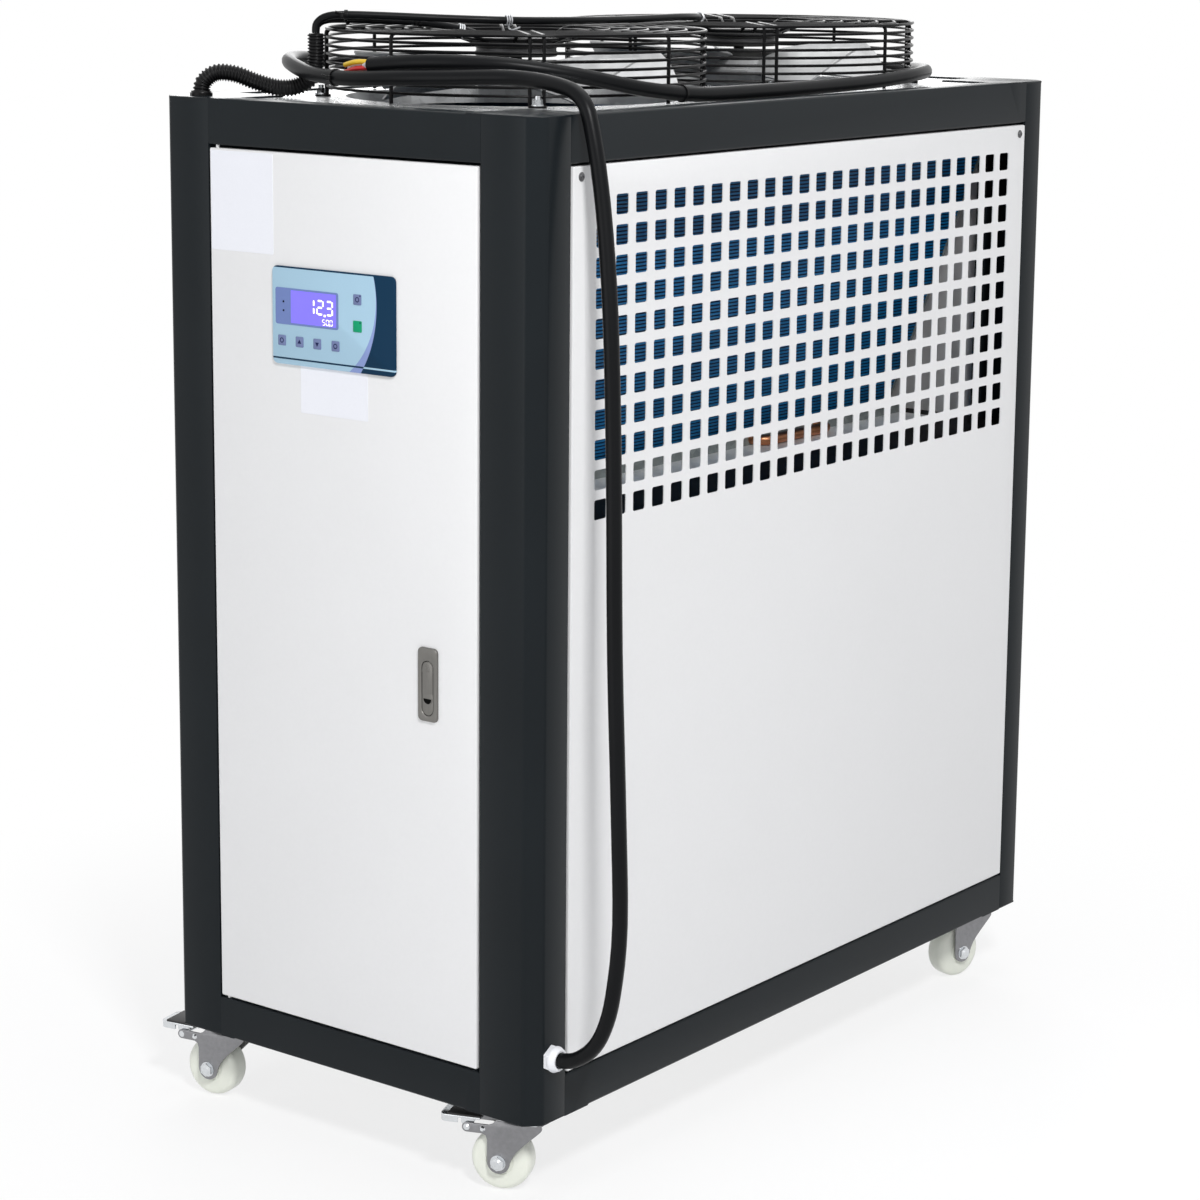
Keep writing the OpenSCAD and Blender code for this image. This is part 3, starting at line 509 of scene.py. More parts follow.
def ring_plate(bm: bmesh.types.BMesh, outer: Sequence[Point2], inner: Sequence[Point2], place: Matrix,
               depth: float, rounded: float) -> None:
    """Adds a plate with an opening, the edges of its front rounded.

    Args:
        bm: the mesh.
        outer: the corners of its outline in the place's XY plane.
        inner: the corners of its opening.
        place: where the plate lies; it grows along the place's Z axis.
        depth: its thickness.
        rounded: the width of the round on its front edges.
    """
    before = set(bm.faces)
    loops = []
    for outline in (outer, inner):
        verts = [bm.verts.new(place @ Vector((x, y, 0.0))) for x, y in outline]
        loops += [bm.edges.new((verts[i - 1], verts[i])) for i in range(len(verts))]
    flat = bmesh.ops.bridge_loops(bm, edges=loops)["faces"]
    grown = bmesh.ops.extrude_face_region(bm, geom=flat)["geom"]
    slide(bm, grown, place.to_3x3() @ Vector((0.0, 0.0, depth)))
    made = [f for f in bm.faces if f not in before]
    bmesh.ops.recalc_face_normals(bm, faces=made)
    back = place.inverted()
    front = dict.fromkeys(e for f in made for e in f.edges if e.calc_face_angle(0.0) > 1.0
                          and all(abs((back @ v.co).z - depth) < 1e-4 for v in e.verts))
    bevel(bm, front, rounded, 3)


def rounded_outline(w: float, h: float, radius: float, steps: int = 4) -> list[Point2]:
    """Gives the corners of a rectangle with round corners, about its middle.

    Args:
        w: its width.
        h: its height.
        radius: the radius of its corners.
        steps: stretches in each corner.

    Returns:
        The points, anticlockwise.
    """
    out: list[Point2] = []
    for quarter, (sx, sy) in enumerate(((1, 1), (-1, 1), (-1, -1), (1, -1))):
        out += arc(radius, math.pi / 2 * quarter, math.pi / 2 * (quarter + 1), steps,
                   (sx * (w / 2 - radius), sy * (h / 2 - radius)))
    return out


def folded_sheet(section: Sequence[Point2], stations: Sequence[float], thickness: float, bend: float,
                 drop: Sequence[tuple[int, float]] = (), tight: Sequence[int] = ()) -> bmesh.types.BMesh:
    """Makes a bent sheet: a section of straight runs, drawn out along Z and rounded at its bends.

    Args:
        section: the outer corners of the section, with the outside on its left.
        stations: the heights at which the sheet is divided, lowest first.
        thickness: the sheet's thickness, inwards.
        bend: the outer radius of the bends.
        drop: runs that stop short of both ends, as (run, how far short).
        tight: corners of the section that are bent nearly sharp.

    Returns:
        The mesh of the sheet.
    """
    bm = bmesh.new()
    row = [bm.verts.new((x, y, stations[0])) for x, y in section]
    edges = [bm.edges.new(pair) for pair in zip(row, row[1:])]
    for low, high in zip(stations, stations[1:]):
        grown = bmesh.ops.extrude_edge_only(bm, edges=edges)["geom"]
        slide(bm, grown, (0.0, 0.0, high - low))
        edges = [e for e in grown if isinstance(e, bmesh.types.BMEdge)
                 and all(abs(v.co.z - high) < 1e-6 for v in e.verts)]
    bm.normal_update()
    spare = []
    for run, short in drop:
        middle = (Vector(section[run]) + Vector(section[run + 1])) / 2
        for face in bm.faces:
            centre = face.calc_center_median()
            on_run = (centre.to_2d() - middle).length < 1e-3
            if on_run and not stations[0] + short < centre.z < stations[-1] - short:
                spare.append(face)
    bmesh.ops.delete(bm, geom=spare, context="FACES")
    bends = [e for e in bm.edges if len(e.link_faces) == 2 and e.calc_face_angle(0.0) > 0.1]
    spots = [Vector(section[k]) for k in tight]
    sharp = [e for e in bends if any((e.verts[0].co.to_2d() - spot).length < 1e-3 for spot in spots)]
    bevel(bm, [e for e in bends if e not in sharp], bend, 3)
    bevel(bm, [e for e in sharp if e.is_valid], 0.4, 2)
    bm.normal_update()
    bmesh.ops.solidify(bm, geom=bm.faces[:], thickness=thickness)
    return bm


def pan_sheet(w: float, h: float, depth: float, sheet: float, fold: float,
              holes: Sequence[Sequence[Point2]]) -> bmesh.types.BMesh:
    """Makes a panel with folded edges: its face in the XZ plane at y = 0, facing -Y.

    Args:
        w: its width, either side of x = 0.
        h: its height from z = 0.
        depth: how deep its folded edges are.
        sheet: the sheet's thickness.
        fold: the outer radius of the folds.
        holes: the outline of each hole in (x, z).

    Returns:
        The mesh of the panel.
    """
    bm = bmesh.new()
    corners = ((-w / 2, 0.0), (w / 2, 0.0), (w / 2, h), (-w / 2, h))
    face = bm.faces.new([bm.verts.new((x, 0.0, z)) for x, z in corners])
    bmesh.ops.inset_region(bm, faces=[face], thickness=3.0 * fold, use_even_offset=True)
    inner = min(bm.faces, key=lambda f: (f.calc_center_median() - Vector((0.0, 0.0, h / 2))).length)
    rim = list(inner.edges)
    if holes:
        bmesh.ops.delete(bm, geom=[inner], context="FACES_ONLY")
        loops = list(rim)
        for outline in holes:
            verts = [bm.verts.new((x, 0.0, z)) for x, z in outline]
            loops += [bm.edges.new((verts[i - 1], verts[i])) for i in range(len(verts))]
        bmesh.ops.triangle_fill(bm, use_beauty=True, use_dissolve=False, edges=loops,
                                normal=(0.0, -1.0, 0.0))
    border = [e for e in bm.edges if len(e.link_faces) == 1
              and all(abs(abs(v.co.x) - w / 2) < 1e-4 or min(abs(v.co.z), abs(v.co.z - h)) < 1e-4
                      for v in e.verts)]
    grown = bmesh.ops.extrude_edge_only(bm, edges=border)["geom"]
    slide(bm, grown, (0.0, depth, 0.0))
    bmesh.ops.recalc_face_normals(bm, faces=bm.faces[:])
    flat = max(bm.faces, key=lambda f: f.calc_area())
    if flat.normal.y > 0:
        bmesh.ops.reverse_faces(bm, faces=bm.faces[:])
    folds = [e for e in bm.edges if len(e.link_faces) == 2 and e.calc_face_angle(0.0) > 0.5]
    bevel(bm, folds, fold, 3)
    bm.normal_update()
    bmesh.ops.solidify(bm, geom=bm.faces[:], thickness=sheet)
    return bm


def put(target: bmesh.types.BMesh, source: bmesh.types.BMesh, place: Matrix) -> None:
    """Adds one mesh to another at a place, turning it right way out if the place mirrors it.

    Args:
        target: the mesh that grows.
        source: the mesh that is added and freed.
        place: where it goes.
    """
    bmesh.ops.transform(source, matrix=place, verts=source.verts[:])
    if place.determinant() < 0:
        bmesh.ops.reverse_faces(source, faces=source.faces[:])
    carrier = bpy.data.meshes.new("carrier")
    source.to_mesh(carrier)
    source.free()
    target.from_mesh(carrier)
    bpy.data.meshes.remove(carrier)


def finish_piece(bm: bmesh.types.BMesh, name: str, finish: Finish, body: str,
                 stands_for: Sequence[str] = (), sharp: float = 35.0) -> bpy.types.Object:
    """Turns a mesh in millimetres into a finished piece in metres that rides on a body.

    Args:
        bm: the mesh, which is freed.
        name: the piece's name.
        finish: its finish.
        body: the CAD body that carries it.
        stands_for: the CAD nodes that it replaces.
        sharp: the angle in degrees above which an edge stays sharp.

    Returns:
        The piece.
    """
    bmesh.ops.scale(bm, vec=(MM, MM, MM), verts=bm.verts[:])
    mesh = bpy.data.meshes.new(name)
    bm.to_mesh(mesh)
    bm.free()
    mesh.polygons.foreach_set("use_smooth", [True] * len(mesh.polygons))
    mesh.set_sharp_from_angle(angle=math.radians(sharp))
    piece = bpy.data.objects.new(name, mesh)
    bpy.context.scene.collection.objects.link(piece)
    mesh.materials.append(finish.material())
    settle(piece, body, stands_for)
    return piece


def settle(piece: bpy.types.Object, body: str, stands_for: Sequence[str] = ()) -> None:
    """Puts a piece on its body.

    Args:
        piece: the piece.
        body: the CAD body that carries it.
        stands_for: the CAD nodes that it replaces.
    """
    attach(piece, body)
    if stands_for:
        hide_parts(*stands_for)
    LOG.info("piece %s rides on %s", piece.name, body)


def dress(frame: dict, nodes: Sequence[str], finish: Finish) -> None:
    """Gives CAD nodes a finish.

    Args:
        frame: the loaded frame.
        nodes: the nodes' names.
        finish: their finish.
    """
    for name in nodes:
        mesh = frame["nodes"][name].data
        mesh.materials.clear()
        mesh.materials.append(finish.material())
        LOG.info("node %s dressed in %s", name, finish.name)


def cord_curve(name: str, route: Sequence[Vector], radius: float, finish: Finish) -> bpy.types.Object:
    """Makes a round cord along a route.

    Args:
        name: the cord's name.
        route: the points of its middle line.
        radius: its radius.
        finish: its finish.

    Returns:
        The cord, a curve of one open spline.
    """
    data = bpy.data.curves.new(name, "CURVE")
    data.dimensions = "3D"
    data.bevel_depth = radius * MM
    data.bevel_resolution = 5
    data.use_fill_caps = True
    line = data.splines.new("POLY")
    line.points.add(len(route) - 1)
    for spot, point in zip(line.points, route):
        spot.co = (*(point * MM), 1.0)
    data.materials.append(finish.material())
    cord = bpy.data.objects.new(name, data)
    bpy.context.scene.collection.objects.link(cord)
    return cord


@dataclass
class Studio:
    """The pale floor, the soft light and the camera at the photo's angle."""

    lens: float = 93.6
    spot: Point = (2.078, -2.762, 1.273)
    yaw: float = 37.48
    pitch: float = 10.68
    roll: float = -0.49
    shift: float = -0.08
    room_light: float = 0.30
    fade: Point2 = (0.5, 1.15)
    least_white: float = 0.75

    def camera(self) -> None:
        """Makes the camera."""
        data = bpy.data.cameras.new("camera")
        data.lens = self.lens
        data.sensor_width = 36.0
        data.shift_y = self.shift
        view = bpy.data.objects.new("camera", data)
        view.location = self.spot
        yaw, pitch = math.radians(self.yaw), math.radians(self.pitch)
        ahead = Vector((-math.sin(yaw) * math.cos(pitch), math.cos(yaw) * math.cos(pitch),
                        -math.sin(pitch)))
        level = ahead.to_track_quat("-Z", "Y").to_matrix()
        view.rotation_euler = (level @ Matrix.Rotation(-math.radians(self.roll), 3, "Z")).to_euler()
        bpy.context.scene.collection.objects.link(view)
        bpy.context.scene.camera = view

    def floor(self) -> None:
        """Makes the pale floor."""
        bm = bmesh.new()
        bmesh.ops.create_grid(bm, x_segments=1, y_segments=1, size=30.0)
        mesh = bpy.data.meshes.new("floor")
        bm.to_mesh(mesh)
        bm.free()
        mesh.materials.append(self.floor_paint())
        floor = bpy.data.objects.new("floor", mesh)
        floor.location.z = -0.0005
        bpy.context.scene.collection.objects.link(floor)

    def floor_paint(self) -> bpy.types.Material:
        """Makes the floor's material: pale paint that turns into plain white away from the object.

        Returns:
            The material.
        """
        paint = bpy.data.materials.new("floor_pale")
        paint.use_nodes = True
        tree = paint.node_tree
        shader = tree.nodes["Principled BSDF"]
        shader.inputs["Base Color"].default_value = (0.92, 0.92, 0.925, 1.0)
        shader.inputs["Roughness"].default_value = 0.7
        white = add_node(tree, "Emission", {"Color": WHITE, "Strength": 1.0})
        spot = add_node(tree, "TexCoord", {}).outputs["Object"]
        away = add_node(tree, "VectorMath", {0: spot}, operation="LENGTH").outputs["Value"]
        far = add_node(tree, "MapRange", {"Value": away, "From Min": self.fade[0], "From Max": self.fade[1],
                                          "To Min": self.least_white}, interpolation_type="SMOOTHSTEP")
        both = add_node(tree, "Math", {0: far.outputs["Result"], 1: self.seen(tree)}, operation="MULTIPLY")
        mix = add_node(tree, "MixShader", {"Fac": both.outputs["Value"], 1: shader.outputs["BSDF"],
                                           2: white.outputs["Emission"]})
        feed(tree, tree.nodes["Material Output"].inputs["Surface"], mix.outputs["Shader"])
        return paint

    @staticmethod
    def seen(tree: bpy.types.NodeTree) -> bpy.types.NodeSocket:
        """Adds a test for the rays that see the background.

        Args:
            tree: the node tree of the floor or the world.

        Returns:
            1 for rays of the camera, of gloss and through glass, 0 for the rest.
        """
        path = add_node(tree, "LightPath", {})
        seen = path.outputs["Is Camera Ray"]
        for ray in ("Is Glossy Ray", "Is Transmission Ray"):
            seen = add_node(tree, "Math", {0: seen, 1: path.outputs[ray]},
                            operation="MAXIMUM").outputs["Value"]
        return seen

    def world(self) -> None:
        """Lights the room evenly and shows it white to the camera, metal and glass."""
        world = bpy.data.worlds.new("studio")
        bpy.context.scene.world = world
        world.use_nodes = True
        tree = world.node_tree
        soft = tree.nodes["Background"]
        soft.inputs["Color"].default_value = (0.95, 0.97, 1.0, 1.0)
        soft.inputs["Strength"].default_value = self.room_light
        white = add_node(tree, "Background", {"Color": WHITE, "Strength": 1.0})
        mix = add_node(tree, "MixShader", {"Fac": self.seen(tree), 1: soft.outputs["Background"],
                                           2: white.outputs["Background"]})
        feed(tree, tree.nodes["World Output"].inputs["Surface"], mix.outputs["Shader"])

    def lamps(self) -> None:
        """Hangs the soft boxes: a key from the front right, a fill in front, one above and one behind."""
        for name, spot, aim, size, power in (
                ("key_box", (2.6, -2.2, 3.3), (0.0, 0.0, 0.6), 0.6, 122.0),
                ("front_box", (-0.6, -3.4, 1.1), (0.0, 0.0, 0.6), 2.0, 19.0),
                ("top_box", (0.2, 0.4, 3.4), (0.0, 0.0, 1.0), 2.4, 36.0),
                ("back_box", (-2.2, 2.6, 2.0), (0.0, 0.0, 0.7), 2.0, 34.0)):
            data = bpy.data.lights.new(name, "AREA")
            data.energy = power
            data.size = size
            lamp = bpy.data.objects.new(name, data)
            lamp.location = spot
            lamp.rotation_euler = (Vector(aim) - Vector(spot)).to_track_quat("-Z", "Y").to_euler()
            bpy.context.scene.collection.objects.link(lamp)

    def build(self) -> None:
        """Makes the whole studio apart from the camera."""
        self.floor()
        self.world()
        self.lamps()
        bpy.context.scene.view_settings.view_transform = "Standard"


@dataclass
class Cabinet:
    """The bent sheet frame: corner posts, rails, base pan and top plate."""

    w: float = 500.0
    d: float = 955.0
    h: float = 1000.0
    base: float = 88.0
    post_w: float = 70.0
    post_d: float = 50.0
    chamfer: float = 15.0
    rail_top: float = 47.0
    rail_bottom: float = 44.0
    sheet: float = 2.0
    rebate: float = 14.0
    lip: float = 12.0
    flange: float = 26.0
    corner: float = 90.0
    bend: float = 2.6

    def post_section(self) -> list[Point2]:
        """Gives the outer corners of a post's section, from one lip round to the other."""
        return [(self.post_w + self.lip, self.rebate), (self.post_w, self.rebate), (self.post_w, 0.0),
                (self.chamfer, 0.0), (0.0, self.chamfer), (0.0, self.post_d),
                (self.rebate, self.post_d), (self.rebate, self.post_d + self.lip)]

    def corner_plate(self, bm: bmesh.types.BMesh, low: float, top: bool) -> None:
        """Adds the level plate at one end of a post, its outer edge rounded.

        Args:
            bm: the mesh.
            low: the height of the plate's underside.
            top: whether it closes the top, so that its upper edge is rounded.
        """
        t = self.sheet
        outline = [(self.chamfer, 0.0), (self.post_w, 0.0), (self.post_w, t), (self.corner, t),
                   (self.corner, self.corner), (t, self.corner), (t, self.post_d), (0.0, self.post_d),
                   (0.0, self.chamfer)]
        before = set(bm.verts)
        prism(bm, outline, moved(0.0, 0.0, low), t)
        outer = low + t if top else low
        rim = [e for v in bm.verts if v not in before for e in v.link_edges
               if all(abs(u.co.z - outer) < 1e-6 and (u.co.x < 1e-6 or u.co.y < 1e-6
                      or u.co.x + u.co.y < self.chamfer + 1e-3) for u in e.verts)]
        bevel(bm, dict.fromkeys(rim), 0.6 * t, 3)

    def posts(self) -> None:
        """Makes the four corner posts."""
        for sx, sy, name in ((-1, -1, "front_left"), (1, -1, "front_right"),
                             (-1, 1, "rear_left"), (1, 1, "rear_right")):
            bm = folded_sheet(self.post_section(), (self.sheet, self.h - self.sheet), self.sheet, self.bend,
                              tight=(2, 5))
            self.corner_plate(bm, 0.0, top=False)
            self.corner_plate(bm, self.h - self.sheet, top=True)
            place = moved(sx * self.w / 2, sy * self.d / 2, self.base)
            place @= Matrix.Diagonal((-sx, -sy, 1.0, 1.0))
            whole = bmesh.new()
            put(whole, bm, place)
            finish_piece(whole, f"corner_post_{name}", FRAME_COAT, "cabinet", [f"post_{name}"])

    def rail(self, length: float, height: float, post: float) -> bmesh.types.BMesh:
        """Makes one rail, its face towards -X and its flange at y = 0.

        Args:
            length: the distance between its posts.
            height: the height of its face.
            post: the width of the posts' faces on this side.

        Returns:
            The rail's mesh, drawn out along Z.
        """
        section = [(self.flange, 0.0), (0.0, 0.0), (0.0, height), (self.rebate, height),
                   (self.rebate, height + self.lip)]
        short = self.corner - post
        half = length / 2
        stations = sorted({-half, -half + self.lip, -half + short, half - short, half - self.lip, half})
        return folded_sheet(section, stations, self.sheet, self.bend, drop=((0, short), (3, self.lip)))

    def rails(self, name: str, node: str, height: float, level: float, up: float) -> None:
        """Makes a ring of four rails.

        Args:
            name: the piece's name.
            node: the CAD node that it replaces.
            height: the height of the rails' faces.
            level: the height of the outer face of their flanges.
            up: 1 where the faces rise from the flanges and -1 where they hang.
        """
        whole = bmesh.new()
        inward = Matrix(((0.0, 0.0, 1.0, 0.0), (1.0, 0.0, 0.0, 0.0), (0.0, up, 0.0, 0.0),
                         (0.0, 0.0, 0.0, 1.0)))
        for turn in range(4):
            front = turn % 2 == 0
            length = self.w - 2 * self.post_w if front else self.d - 2 * self.post_d
            out = self.d / 2 if front else self.w / 2
            bm = self.rail(length, height, self.post_w if front else self.post_d)
            place = turned(turn * math.pi / 2, "Z") @ moved(0.0, -out, level) @ inward
            put(whole, bm, place)
        finish_piece(whole, name, FRAME_COAT, "cabinet", [node])

    def build(self, frame: dict) -> None:
        """Makes the frame and dresses its plates.

        Args:
            frame: the loaded frame.
        """
        self.posts()
        self.rails("upper_rail_ring", "top_rails", self.rail_top, self.base + self.h, -1.0)
        self.rails("lower_rail_ring", "bottom_rails", self.rail_bottom, self.base, 1.0)
        dress(frame, ("base_pan", "top_plate", "inner_front_plate"), GALVANISED)
        dress(frame, ("coil_deck",), DECK_BLACK)


@dataclass
class Panels:
    """The side panels, the rear panel, the door, their screws and the blank labels."""

    cabinet: Cabinet
    sheet: float = 1.2
    proud: float = 1.5
    gap: float = 2.5
    fold: float = 1.6
    hole: float = 20.0
    hole_round: float = 2.2
    pitch_y: float = 31.6
    pitch_z: float = 29.7
    columns: int = 25
    rows: int = 11
    hole_drop: float = 40.0
    door_gap: float = 3.0
    door_depth: float = 10.0
    screw_in: Point2 = (12.0, 10.0)
    port_pitch: float = 130.0
    port_up: float = 150.0
    port_hole: float = 16.9
    latch_mid: Point2 = (115.5, 387.5)
    latch_cut: Point2 = (19.0, 67.0)
    pin_in: float = 7.0
    pin_back: float = 5.5
    pin_r: float = 2.0
    pin_len: float = 5.0

    @property
    def open_low(self) -> float:
        """Height of the panel openings' lower edge."""
        return self.cabinet.base + self.cabinet.rail_bottom

    @property
    def open_h(self) -> float:
        """Height of the panel openings."""
        return self.cabinet.h - self.cabinet.rail_top - self.cabinet.rail_bottom

    def screw(self, bm: bmesh.types.BMesh, x: float, z: float) -> None:
        """Adds a round screw head with a small recess on a panel's face.

        Args:
            bm: the mesh, with the face at y = 0.
            x: its place across the face.
            z: its place up the face.
        """
        place = moved(x, 0.2, z) @ UPRIGHT
        lathe(bm, [(4.6, 0.0), (4.6, 0.4), (4.0, 0.9), (3.4, 0.9), (3.3, 1.4), (2.6, 2.1), (1.4, 2.4),
                   (0.9, 2.3), (0.7, 1.3), (0.0, 1.3)], place, 20)

    def fixed(self, names: tuple[str, str, str], size: Point2, out: float, turn: float,
              holes: Sequence[Sequence[Point2]]) -> None:
        """Makes one fixed panel and its two screws.

        Args:
            names: the panel's name, its CAD node and its screws' name.
            size: its width and height.
            out: how far the cabinet's side lies from its middle.
            turn: how far its face is turned from the front.
            holes: the outline of each hole.
        """
        w, h = size
        place = turned(turn, "Z") @ moved(0.0, -out - self.proud, self.open_low + self.gap)
        whole, heads, screws = bmesh.new(), bmesh.new(), bmesh.new()
        depth = self.cabinet.rebate + self.proud
        put(whole, pan_sheet(w, h, depth, self.sheet, self.fold, holes), place)
        finish_piece(whole, names[0], PANEL_COAT, "cabinet", [names[1]])
        for x in (-w / 2 + self.screw_in[0], w / 2 - self.screw_in[0]):
            self.screw(heads, x, h - self.screw_in[1])
        put(screws, heads, place)
        finish_piece(screws, names[2], SCREW_GREY, "cabinet")

    def side(self, name: str, turn: float) -> None:
        """Makes one perforated side panel.

        Args:
            name: left or right.
            turn: how far its face is turned from the front.
        """
        c = self.cabinet
        w, h = c.d - 2 * c.post_d - 2 * self.gap, self.open_h - 2 * self.gap
        square = rounded_outline(self.hole, self.hole, self.hole_round, 2)
        holes = []
        for i in range(self.columns):
            for j in range(self.rows):
                x = (i - (self.columns - 1) / 2) * self.pitch_y
                z = h - self.hole_drop - j * self.pitch_z
                holes.append([(x + px, z + pz) for px, pz in square])
        names = (f"perforated_panel_{name}", f"side_panel_{name}", f"panel_screws_{name}")
        self.fixed(names, (w, h), c.w / 2, turn, holes)

    def rear(self) -> None:
        """Makes the rear panel with its port holes."""
        c = self.cabinet
        w, h = c.w - 2 * c.post_w - 2 * self.gap, self.open_h - 2 * self.gap
        z = c.base + self.port_up - self.open_low - self.gap
        holes = [arc(self.port_hole, 0.0, FULL_TURN, 24, (x, z))[:-1]
                 for x in (-self.port_pitch / 2, self.port_pitch / 2)]
        self.fixed(("back_panel", "rear_panel", "panel_screws_rear"), (w, h), c.d / 2, math.pi, holes)

    def door(self) -> None:
        """Makes the door with its latch cut-out and pivot pins."""
        c = self.cabinet
        w, h = c.w - 2 * c.post_w - 2 * self.door_gap, self.open_h - 2 * self.door_gap
        low = self.open_low + self.door_gap
        x, z = self.latch_mid
        cut = rounded_outline(*self.latch_cut, 1.0, 2)
        face = -c.d / 2 - self.proud
        bm = pan_sheet(w, h, self.door_depth, self.sheet, self.fold, [[(x + px, z + pz) for px, pz in cut]])
        whole = bmesh.new()
        put(whole, bm, moved(0.0, face, low))
        pin_x, pin_y = -w / 2 + self.pin_in, face + self.pin_back
        for start, end in ((low - self.pin_len, low + 0.5), (low + h - 0.5, low + h + self.pin_len)):
            rod(whole, Vector((pin_x, pin_y, start)), Vector((pin_x, pin_y, end)), self.pin_r, 24)
        finish_piece(whole, "front_door", PANEL_COAT, "door", ["door_panel"])

    def labels(self) -> None:
        """Makes the two blank paper labels on the door."""
        face = -self.cabinet.d / 2 - self.proud
        for name, x, z, w, h in (("upper_label", -132.0, 985.5, 86.0, 101.0),
                                 ("lower_label", -8.0, 803.5, 90.0, 51.0)):
            bm = bmesh.new()
            place = moved(x, face, z) @ UPRIGHT
            prism(bm, rounded_outline(w, h, 1.0, 2), place, 0.25)
            finish_piece(bm, name, LABEL_PAPER, "door")

    def build(self) -> None:
        """Makes all the panels."""
        self.side("right", math.pi / 2)
        self.side("left", -math.pi / 2)
        self.rear()
        self.door()
        self.labels()


@dataclass(frozen=True)
class MembraneFinish:
    """The printed face of the control panel: a pale field, a dark part behind an arc and a line below, with
    a dark line of painted shade along its top edge.
    """

    slot: str = "control_face"
    field_colour: Colour = (0.37, 0.55, 0.68)
    dark_colour: Colour = (0.002, 0.027, 0.064)
    edge_colour: Colour = (0.24, 0.31, 0.58)

    def material(self, middle: Point, size: Point2) -> bpy.types.Material:
        """Makes the printed material, with a line of painted shade along its top edge.

        Args:
            middle: the middle of the panel's front, in millimetres.
            size: its width and height.

        Returns:
            The material, drawn on Object coordinates.
        """
        made = bpy.data.materials.new("membrane_print_and_edge_shade")
        made.use_nodes = True
        tree = made.node_tree
        shader = tree.nodes["Principled BSDF"]
        shader.inputs["Roughness"].default_value = 0.45
        shader.inputs["Specular IOR Level"].default_value = 0.10
        spot = add_node(tree, "TexCoord", {}).outputs["Object"]
        left, top = middle[0] - size[0] / 2, middle[2] + size[1] / 2
        dark = self._outside(tree, spot, (left + 22.0, top - 31.3), 118.0)
        edge = self._outside(tree, spot, (left + 46.7, top - 26.0), 92.5)
        below = self._line(tree, spot, top - 93.0, 0.9)
        # painted shade: a dark line along the top edge stands in for the plate's shaded edge face; it is
        # not print
        top_edge_shade = self._line(tree, spot, top - 0.5, 1.1)
        crossing = add_node(tree, "Math", {0: below, 1: dark}, operation="MULTIPLY").outputs["Value"]
        grain = add_node(tree, "TexNoise", {"Vector": spot, "Scale": 700.0}).outputs["Fac"]
        ramp = add_node(tree, "ValToRGB", {"Fac": grain})
        for element, share in zip(ramp.color_ramp.elements, (0.97, 1.03)):
            element.color = (*(share * c for c in self.field_colour), 1.0)
        face_colour = ramp.outputs["Color"]
        for colour, mask in ((self.edge_colour, edge), (self.dark_colour, dark), (self.dark_colour, below),
                             (self.field_colour, crossing), (self.dark_colour, top_edge_shade)):
            layer = {"Factor": mask, "A": face_colour, "B": (*colour, 1.0)}
            face_colour = add_node(tree, "Mix", layer, data_type="RGBA").outputs["Result"]
        lift = add_node(tree, "Bump", {"Strength": 0.03, "Distance": 0.0003, "Height": grain})
        feed(tree, shader.inputs["Normal"], lift.outputs["Normal"])
        feed(tree, shader.inputs["Base Color"], face_colour)
        return made

    @staticmethod
    def _outside(tree: bpy.types.NodeTree, spot: bpy.types.NodeSocket, centre: Point2,
                 radius: float) -> bpy.types.NodeSocket:
        """Gives 1 outside a circle in the XZ plane and 0 inside it.

        Args:
            tree: the material's node tree.
            spot: the coordinates.
            centre: the circle's middle in (x, z) millimetres.
            radius: its radius.

        Returns:
            The grey output.
        """
        aside = add_node(tree, "Mapping", {"Vector": spot, "Scale": (1.0, 0.0, 1.0),
                                           "Location": (-centre[0] * MM, 0.0, -centre[1] * MM)})
        away = add_node(tree, "VectorMath", {0: aside.outputs["Vector"]}, operation="LENGTH")
        past = add_node(tree, "Math", {0: away.outputs["Value"], 1: radius * MM}, operation="GREATER_THAN")
        return past.outputs["Value"]

    @staticmethod
    def _line(tree: bpy.types.NodeTree, spot: bpy.types.NodeSocket, z: float,
              half: float) -> bpy.types.NodeSocket:
        """Gives 1 on a level line and 0 off it.

        Args:
            tree: the material's node tree.
            spot: the coordinates.
            z: the line's height in millimetres.
            half: half its width.

        Returns:
            The grey output.
        """
        height = add_node(tree, "SeparateXYZ", {"Vector": spot}).outputs["Z"]
        near = add_node(tree, "Math", {0: height, 1: z * MM, 2: half * MM}, operation="COMPARE")
        return near.outputs["Value"]


SEGMENTS = {"0": "abcdef", "1": "bc", "2": "abged", "3": "abgcd", "5": "afgcd"}


